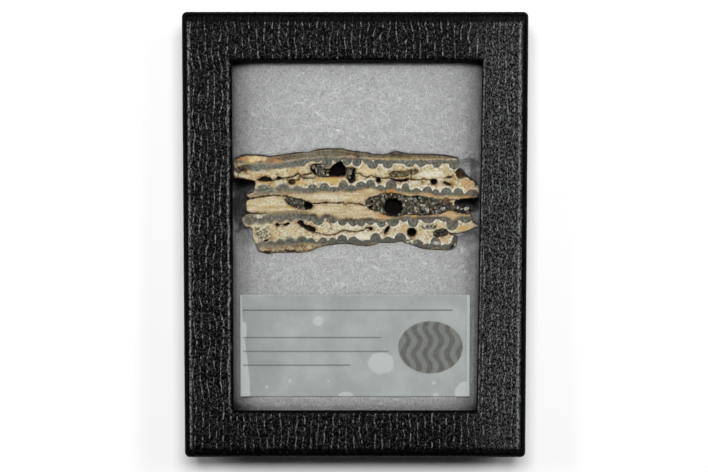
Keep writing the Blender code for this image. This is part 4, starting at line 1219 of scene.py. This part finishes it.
def make_lid():
    """The lid as paper wrapped over card: one strip of cross-section carried round the case."""
    low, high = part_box("lid")
    rows = lid_rows(low, high)
    count = len(rows[0][0])
    points = np.concatenate([np.column_stack([ring, np.full(count, z)]) for ring, z, _, _ in rows])
    unrolled = np.concatenate([row[2] for row in rows])
    grain_and_glint = np.repeat([row[3] for row in rows], count)
    index = np.arange(len(points)).reshape(len(rows), count)
    right = np.roll(index, -1, axis=1)
    faces = np.stack([index, right, np.roll(right, -1, axis=0), np.roll(index, -1, axis=0)], -1)
    mesh = mesh_from("wrapped_lid", points.tolist(), faces.reshape(-1, 4).tolist())
    normals = np.zeros(len(points) * 3, np.float32)
    mesh.vertices.foreach_get("normal", normals)
    relief = leather_relief(unrolled[:, 0] / MM, unrolled[:, 1] / MM)
    moved = points - normals.reshape(-1, 3) * ((1 - relief) * grain_and_glint * GRAIN_DEPTH)[:, None]
    mesh.vertices.foreach_set("co", moved.astype(np.float32).ravel())
    mesh.update()
    mark_lid(mesh, points, unrolled, grain_and_glint, high)
    piece = add_object("wrapped_lid", mesh)
    mesh.materials.append(leather_material("lid_paper", on_lid=True))
    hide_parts("lid")
    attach(piece, "root")


def leather_material(name, on_lid=False):
    """Black embossed paper: a wavy net of creases mostly along y, with painted grey glints and specks beside
    them.
    """
    n = Nodes(name)
    creases = n.lines(GRAIN_SPACING, 3.4)
    hooks = n.edges(0.8, (1.0, 0.7, 1.0), 0.7)
    small = n.noise(3.4, 2.0, (1.0, 0.8, 1.0))
    glint = n.times(n.fit(creases, 0.2, 0.04), n.fit(n.noise(1.6, 3.0, (1.0, 0.55, 1.0)), 0.44, 0.54))
    glint = n.times(glint, n.fit(n.noise(3.2, 2.0, (1.0, 0.9, 1.0)), 0.42, 0.58, 0.05, 1.0))
    hook = n.times(n.fit(hooks, 0.06, 0.01), n.fit(n.noise(1.6, 3.0, distortion=0.5), 0.5, 0.6))
    speck = n.times(n.fit(small, 0.56, 0.67), 0.15)
    if on_lid:
        # Towards the right the painted glint lines give way to brighter painted grit
        glint = n.times(glint, n.fit(n.field("right_side_sheen"), 0.0, 1.0, 1.0, 0.95))
        coarse = n.fit(n.noise(3.0, 3.0, (1.0, 0.6, 1.0), 0.4), 0.5, 0.63, 0.0, 0.3)
        speck = n.math("MAXIMUM", speck, n.times(coarse, n.field("right_side_sheen")))
    # Painted highlights: the glints, hooks and specks are laid into the base colour as grey
    shine = n.math("MAXIMUM", n.math("MAXIMUM", n.times(glint, 0.8), n.times(hook, 0.22)), speck)
    if on_lid:
        # How strongly the painted glints show
        shine = n.times(shine, n.field("grain_and_glint"))
    colour = n.mix(shine, (0.0004, 0.0005, 0.0005), (0.33, 0.34, 0.336))
    if on_lid:
        # The painted highlight lines on the edges, broken into bits
        glint_gaps = n.fit(n.noise(3.4, 2.0, (1.0, 0.6, 1.0)), 0.42, 0.6)
        colour = n.over(colour, (n.field("painted_glint_lines"), glint_gaps, (0.42, 0.43, 0.425)))
    n.set("Base Color", colour)
    n.set("Roughness", n.fit(shine, 0.0, 1.0, 0.45, 0.3))
    n.set("Specular IOR Level", 0.025)
    height = n.math("ADD", n.fit(creases, 0.0, 0.4), n.times(n.fit(hooks, 0.0, 0.3), 0.6))
    n.bump(n.math("ADD", height, n.times(small, 0.4)), 0.12, 0.9)
    return n.material


def glass_material():
    n = Nodes("pane_glass")
    n.set("Base Color", (1.0, 1.0, 1.0))
    n.set("Roughness", 0.0)
    n.set("IOR", 1.45)
    n.set("Transmission Weight", 1.0)
    n.set("Alpha", 0.12)
    return n.material


def label_distance(px, py):
    """How far outside the label each point lies, sideways or up and down, in pixels."""
    across = np.abs(px - LABEL_MIDDLE[0]) - LABEL_HALF[0]
    return np.maximum(across, np.abs(py - LABEL_MIDDLE[1]) - LABEL_HALF[1])


def batting_height(x, y):
    """The height of the fibre surface, crowned and pressed against the glass, and its painted shade."""
    px, py = to_photo(x, y)
    to_side = np.minimum(x - WINDOW[0], WINDOW[1] - x)
    to_end = np.minimum(y - WINDOW[2], WINDOW[3] - y)
    drop = CROWN_SIDE * ramp(to_side, 9 * MM, -7 * MM) ** 1.5
    drop += CROWN_END * ramp(to_end, 5 * MM, -7 * MM) ** 1.5
    relief = fractal(x / MM / 1.8, y / MM / 1.8, 141, 5) * 0.3 * MM
    relief += fractal(x / MM / 7, y / MM / 7, 151, 3) * 0.25 * MM
    glass_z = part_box("glass_pane")[0].z
    z = np.minimum(glass_z - 0.5 * MM - drop + relief, glass_z - 0.12 * MM)
    # Painted shade: darker towards the window's edges, in the pad's hollows and round the slice
    shade = 0.62 * np.exp(-np.maximum(to_side, 0) / (5 * MM))
    shade = shade + 0.5 * np.exp(-np.maximum(to_end, 0) / (2 * MM))
    ragged = 0.3 * fractal(px / 6, py / 6, 157, 3)
    for cx, cy, wide, tall, deep in BATTING_HOLLOWS:
        away = spot_distance(px, py, cx, cy, wide, tall) + ragged
        inside = ramp(away, 1.35, 0.35)
        z -= deep * MM * inside
        shade = shade + ramp(away, 1.3, 0.55) * min(1.0, deep / 4.0) ** 2
    outline = shape_distance(px, py, OUTLINE) * PIXEL
    shade = shade + 0.12 * ramp(outline, 1.0 * MM, 0.0)
    under_label = np.minimum(z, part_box("label")[0].z - 0.2 * MM)
    z = np.where(label_distance(px, py) < 1.5, under_label, z)
    tucked = ramp(outline, 0.12 * MM, -0.42 * MM)
    under_slice = np.minimum(z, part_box("molar_slice")[0].z - 0.35 * MM)
    return mixed(z, under_slice, tucked), np.clip(shade, 0, 1)


def sheet_grid(low, high, columns, rows):
    """The places of a grid of points over a box, row by row."""
    gx, gy = np.meshgrid(np.linspace(low.x, high.x, columns), np.linspace(low.y, high.y, rows))
    return gx.ravel(), gy.ravel()


def closed_sheet(name, top, rows, floor_z):
    """A mesh over a grid of points with its rim carried down to a flat bottom, and where the rim is."""
    index = np.arange(len(top)).reshape(rows, -1)
    quads = np.stack([index[:-1, :-1], index[:-1, 1:], index[1:, 1:], index[1:, :-1]], -1).reshape(-1, 4)
    rim = np.concatenate([index[0, :-1], index[:-1, -1], index[-1, :0:-1], index[:0:-1, 0]])
    base = top[rim].copy()
    base[:, 2] = floor_z
    under = np.arange(len(rim)) + len(top)
    sides = np.stack([rim, under, np.roll(under, -1), np.roll(rim, -1)], 1)
    faces = quads.tolist() + sides.tolist() + [under[::-1].tolist()]
    return mesh_from(name, np.concatenate([top, base]).tolist(), faces), rim


def make_batting():
    """The pad: a crowned surface of matted fibre, sunk under the slice, closed by its sides and back."""
    low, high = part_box("batting")
    columns = round((high.x - low.x) / BATTING_STEP)
    rows = round((high.y - low.y) / BATTING_STEP)
    x, y = sheet_grid(low, high, columns, rows)
    z, shade = batting_height(x, y)
    edge = np.minimum(np.minimum(x - low.x, high.x - x), np.minimum(y - low.y, high.y - y))
    z = z - 3.0 * MM * ramp(edge, 4 * MM, 0.0)
    z = np.clip(z, low.z + 2 * MM, high.z + 0.6 * MM)
    mesh, rim = closed_sheet("fibre_pad", np.column_stack([x, y, z]), rows, low.z)
    set_values(mesh, "shade", np.concatenate([shade, shade[rim]]))
    piece = add_object("fibre_pad", mesh)
    mesh.materials.append(batting_material())
    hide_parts("batting")
    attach(piece, "root")


def batting_material():
    n = Nodes("matted_fibre")
    matted = n.fit(n.noise(3.0, 8.0, distortion=2.0), 0.34, 0.66)
    wisps = n.fit(n.noise(0.8, 6.0, distortion=4.0), 0.4, 0.62)
    threads = n.fit(n.edges(1.3, (1.0, 1.0, 1.0), 2.2), 0.06, 0.0)
    colour = n.mix(matted, (0.22, 0.228, 0.225), (0.86, 0.872, 0.868))
    colour = n.mix(n.times(wisps, 0.4), colour, (0.66, 0.665, 0.66))
    colour = n.mix(n.times(threads, 0.5), colour, (0.9, 0.905, 0.9))
    # Painted shade laid into the pad's colour
    colour = n.mix(n.field("shade"), colour, (0.012, 0.013, 0.013))
    n.set("Base Color", colour)
    n.set("Roughness", 0.9)
    n.set("Sheen Weight", 0.15)
    n.set("Sheen Roughness", 0.4)
    n.bump(n.math("ADD", matted, n.times(wisps, 0.6)), 0.35, 0.8)
    return n.material


def fibre_lines():
    """Loose curly fibres on the pad, none on slice or label: points along each, their painted shade, and
    radius.
    """
    chance = np.random.default_rng(FIBRE_SEED)
    glass_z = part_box("glass_pane")[0].z
    low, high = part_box("batting")
    start_x = chance.uniform(WINDOW[0] - 2 * MM, WINDOW[1] + 2 * MM, FIBRES)
    start_y = chance.uniform(WINDOW[2] - 2 * MM, WINDOW[3] + 2 * MM, FIBRES)
    heading = chance.uniform(0, 2 * math.pi, FIBRES)
    curl = chance.normal(0, 0.35, FIBRES)
    stride = chance.uniform(0.25, 0.75, FIBRES) * MM
    radius = chance.uniform(0.03, 0.065, FIBRES) * MM
    lines = []
    shades = []
    x = start_x.copy()
    y = start_y.copy()
    for step in range(FIBRE_STEPS):
        z, shade = batting_height(x, y)
        shades.append(shade)
        z = z + 0.05 * MM + 0.1 * MM * np.abs(np.sin(step * 0.8 + start_x / MM))
        lines.append(np.column_stack([x, y, np.minimum(z, glass_z - 0.06 * MM)]))
        heading = heading + curl + chance.normal(0, 0.25, FIBRES)
        x = np.clip(x + np.cos(heading) * stride, low.x, high.x)
        y = np.clip(y + np.sin(heading) * stride, low.y, high.y)
    lines = np.stack(lines, 1)
    px, py = to_photo(lines[:, :, 0], lines[:, :, 1])
    on_slice = (shape_distance(px, py, OUTLINE) < 0.6).any(1)
    on_label = (label_distance(px, py) < 3.0).any(1)
    kept = ~(on_slice | on_label)
    return lines[kept], np.stack(shades, 1)[kept], radius[kept]


def make_fibres():
    """The loose fibres as thin three-sided threads."""
    lines, shades, radius = fibre_lines()
    along = np.gradient(lines, axis=1)
    along /= np.linalg.norm(along, axis=2)[..., None]
    side = np.cross(along, [0, 0, 1.0])
    side /= np.maximum(np.linalg.norm(side, axis=2), 1e-9)[..., None]
    up = np.cross(side, along)
    angles = np.radians([90, 210, 330])[:, None]
    around = side[:, :, None] * np.cos(angles) + up[:, :, None] * np.sin(angles)
    points = lines[:, :, None] + radius[:, None, None, None] * around
    thread = []
    for s in range(0, 3 * (FIBRE_STEPS - 1), 3):
        for k in range(3):
            j = (k + 1) % 3
            thread.append((s + k, s + j, s + 3 + j, s + 3 + k))
    last = 3 * FIBRE_STEPS
    thread += [(2, 1, 0), (last - 3, last - 2, last - 1)]
    starts = range(0, last * len(lines), last)
    faces = [tuple(i + start for i in face) for start in starts for face in thread]
    mesh = mesh_from("loose_fibres", points.reshape(-1, 3).tolist(), faces)
    set_values(mesh, "shade", np.repeat(shades.ravel(), 3))
    piece = add_object("loose_fibres", mesh)
    n = Nodes("fibre")
    colour = n.mix(n.fit(n.noise(0.7, 2.0), 0.35, 0.65), (0.6, 0.608, 0.603), (0.95, 0.96, 0.955))
    # Painted shade: fibres darken where the pad under them is shaded
    n.set("Base Color", n.mix(n.field("shade"), colour, (0.03, 0.031, 0.031)))
    n.set("Roughness", 0.4)
    mesh.materials.append(n.material)
    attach(piece, "root")


def label_marks(px, py):
    """What shows on the label: where it touches the glass, ruled lines, the motif, and the dim corner."""
    touch = np.zeros(px.shape)
    for x, y, half_width, half_height in LABEL_BLOTCHES:
        away = spot_distance(px, py, x, y, half_width, half_height) + 0.12 * fractal(px / 6, py / 6, 163, 3)
        touch = np.maximum(touch, ramp(away, 1.05, 0.9))
    wedge = LEFT_STRIP[0] + (LEFT_STRIP[1] - LEFT_STRIP[0]) * ramp(py, *LEFT_STRIP_ENDS)
    touch = np.maximum(touch, ramp(px, wedge + 0.6, wedge - 0.6))
    touch = np.maximum(touch, ramp(px, *RIGHT_STRIP))
    ink = np.zeros(px.shape)
    for left, right, level in LABEL_RULES:
        across = np.maximum(np.abs(py - level) - 0.45, np.maximum(left - px, px - right))
        ink = np.maximum(ink, ramp(across, 0.5, -0.2))
    mx, my = LABEL_MOTIF[:2]
    sway = 1.6 * np.sin((py - my) / 4.2)
    plates = np.sin((px - mx) / 1.75 + sway + 0.5 * fractal(px / 4, py / 4, 173, 3))
    motif = ramp(spot_distance(px, py, *LABEL_MOTIF), 1.0, 0.96) * (0.72 + 0.28 * ramp(plates, 0.3, -0.3))
    dim = ramp(px, *DIM_SIDE) * ramp(py, *DIM_TOP) + 0.5 * ramp(py, *DIM_EDGE)
    return {"touch": touch, "ink": ink, "motif": motif, "dim": dim}


def label_material():
    n = Nodes("label_film")
    paper = n.mix(n.fit(n.noise(0.14, 4.0), 0.36, 0.64), (0.265, 0.288, 0.28), (0.325, 0.352, 0.344))
    paper = n.over(paper, (n.field("dim"), 0.38, (0.12, 0.132, 0.126)))
    paper = n.mix(n.fit(n.noise(2.2, 4.0), 0.45, 0.75, 0.0, 0.16), paper, (0.42, 0.45, 0.44))
    paper = n.mix(n.field("touch"), paper, (0.405, 0.43, 0.42))
    grain = n.fit(n.noise(1.6, 4.0), 0.3, 0.7)
    paper = n.mix(n.field("motif"), paper, n.mix(grain, (0.062, 0.064, 0.056), (0.1, 0.1, 0.088)))
    paper = n.over(paper, (n.field("ink"), 0.85, (0.045, 0.05, 0.048)))
    n.set("Base Color", paper)
    n.set("Roughness", 0.45)
    n.bump(n.noise(2.5, 3.0), 0.01, 0.3)
    return n.material


def make_label():
    """The label: a thin film, a little wavy, that clings to the glass at its blotches."""
    low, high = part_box("label")
    columns = round((high.x - low.x) / LABEL_STEP) + 1
    rows = round((high.y - low.y) / LABEL_STEP) + 1
    x, y = sheet_grid(low, high, columns, rows)
    px = LABEL_MIDDLE[0] + x / PIXEL
    py = LABEL_MIDDLE[1] - (y - LABEL_MIDDLE_Y) / PIXEL
    marks = label_marks(px, py)
    waves = 0.5 + 0.5 * fractal(px / 22, py / 22, 181, 2)
    z = high.z - 0.03 * MM - 0.05 * MM * (1 - marks["touch"]) * waves
    mesh, rim = closed_sheet("label_film", np.column_stack([x, y, z]), rows, low.z)
    for name, values in marks.items():
        set_values(mesh, name, np.concatenate([values, values[rim]]))
    piece = add_object("label_film", mesh)
    mesh.materials.append(label_material())
    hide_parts("label")
    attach(piece, "root")


def dress_cad_nodes():
    """The tray and the pane keep their own shape."""
    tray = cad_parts["tray"]
    tray.data.materials.clear()
    tray.data.materials.append(leather_material("tray_paper"))
    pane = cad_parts["glass_pane"]
    pane.data.materials.clear()
    pane.data.materials.append(glass_material())


def add_soft_box(name, lean_x, lean_y, size, share):
    """A soft box a metre away, leaning off the vertical, that lights the floor by this share of white."""
    away = Vector((math.tan(math.radians(lean_x)), math.tan(math.radians(lean_y)), 1.0)).normalized()
    light = bpy.data.lights.new(name, "AREA")
    light.shape = "RECTANGLE"
    light.size, light.size_y = size
    light.energy = share * math.pi ** 2 / away.z
    obj = add_object(name, light)
    obj.location = away
    obj.rotation_euler = (-away).to_track_quat("-Z", "Y").to_euler()


def add_studio():
    """A pale floor, and soft boxes round the case but not over it: the pane reflects only the dim room."""
    corners = [(x * FLOOR_HALF, y * FLOOR_HALF, 0) for x, y in ((-1, -1), (1, -1), (1, 1), (-1, 1))]
    floor = add_object("floor", mesh_from("floor", corners, [(0, 1, 2, 3)], smooth=False))
    n = Nodes("floor")
    n.set("Base Color", (0.96, 0.96, 0.96))
    n.set("Roughness", 0.9)
    n.set("Specular IOR Level", 0.1)
    floor.data.materials.append(n.material)
    for name, values in SOFT_BOXES.items():
        add_soft_box(name, *values)
    world = bpy.data.worlds.new("room")
    world.use_nodes = True
    background = world.node_tree.nodes["Background"]
    background.inputs["Color"].default_value = (1.0, 1.0, 1.0, 1.0)
    background.inputs["Strength"].default_value = ROOM_LIGHT
    seen = world.node_tree.nodes.new("ShaderNodeBackground")
    seen.inputs["Strength"].default_value = ROOM_SEEN
    rays = world.node_tree.nodes.new("ShaderNodeLightPath")
    either = world.node_tree.nodes.new("ShaderNodeMixShader")
    link = world.node_tree.links.new
    link(rays.outputs["Is Camera Ray"], either.inputs["Fac"])
    link(background.outputs[0], either.inputs[1])
    link(seen.outputs[0], either.inputs[2])
    link(either.outputs[0], world.node_tree.nodes["World Output"].inputs["Surface"])
    bpy.context.scene.world = world
    bpy.context.scene.view_settings.view_transform = "Standard"


def add_camera():
    camera = add_object("camera", bpy.data.cameras.new("camera"))
    camera.data.lens = CAMERA_LENS
    camera.data.sensor_width = 36.0
    target = Vector(CAMERA_TARGET)
    away = Vector((0, math.sin(CAMERA_LEAN), math.cos(CAMERA_LEAN)))
    camera.location = target + away * CAMERA_DISTANCE
    camera.rotation_euler = (-CAMERA_LEAN, 0.0, 0.0)
    bpy.context.scene.camera = camera


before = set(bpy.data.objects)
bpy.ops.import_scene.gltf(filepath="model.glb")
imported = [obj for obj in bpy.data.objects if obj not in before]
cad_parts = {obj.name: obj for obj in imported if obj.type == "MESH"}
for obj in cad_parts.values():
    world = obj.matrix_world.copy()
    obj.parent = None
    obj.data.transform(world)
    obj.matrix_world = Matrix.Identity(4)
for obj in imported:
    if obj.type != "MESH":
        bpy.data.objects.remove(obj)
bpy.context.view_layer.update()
add_camera()
add_studio()
dress_cad_nodes()
make_lid()
make_batting()
make_fibres()
make_label()
make_slice()
make_crystals()
bpy.context.view_layer.update()
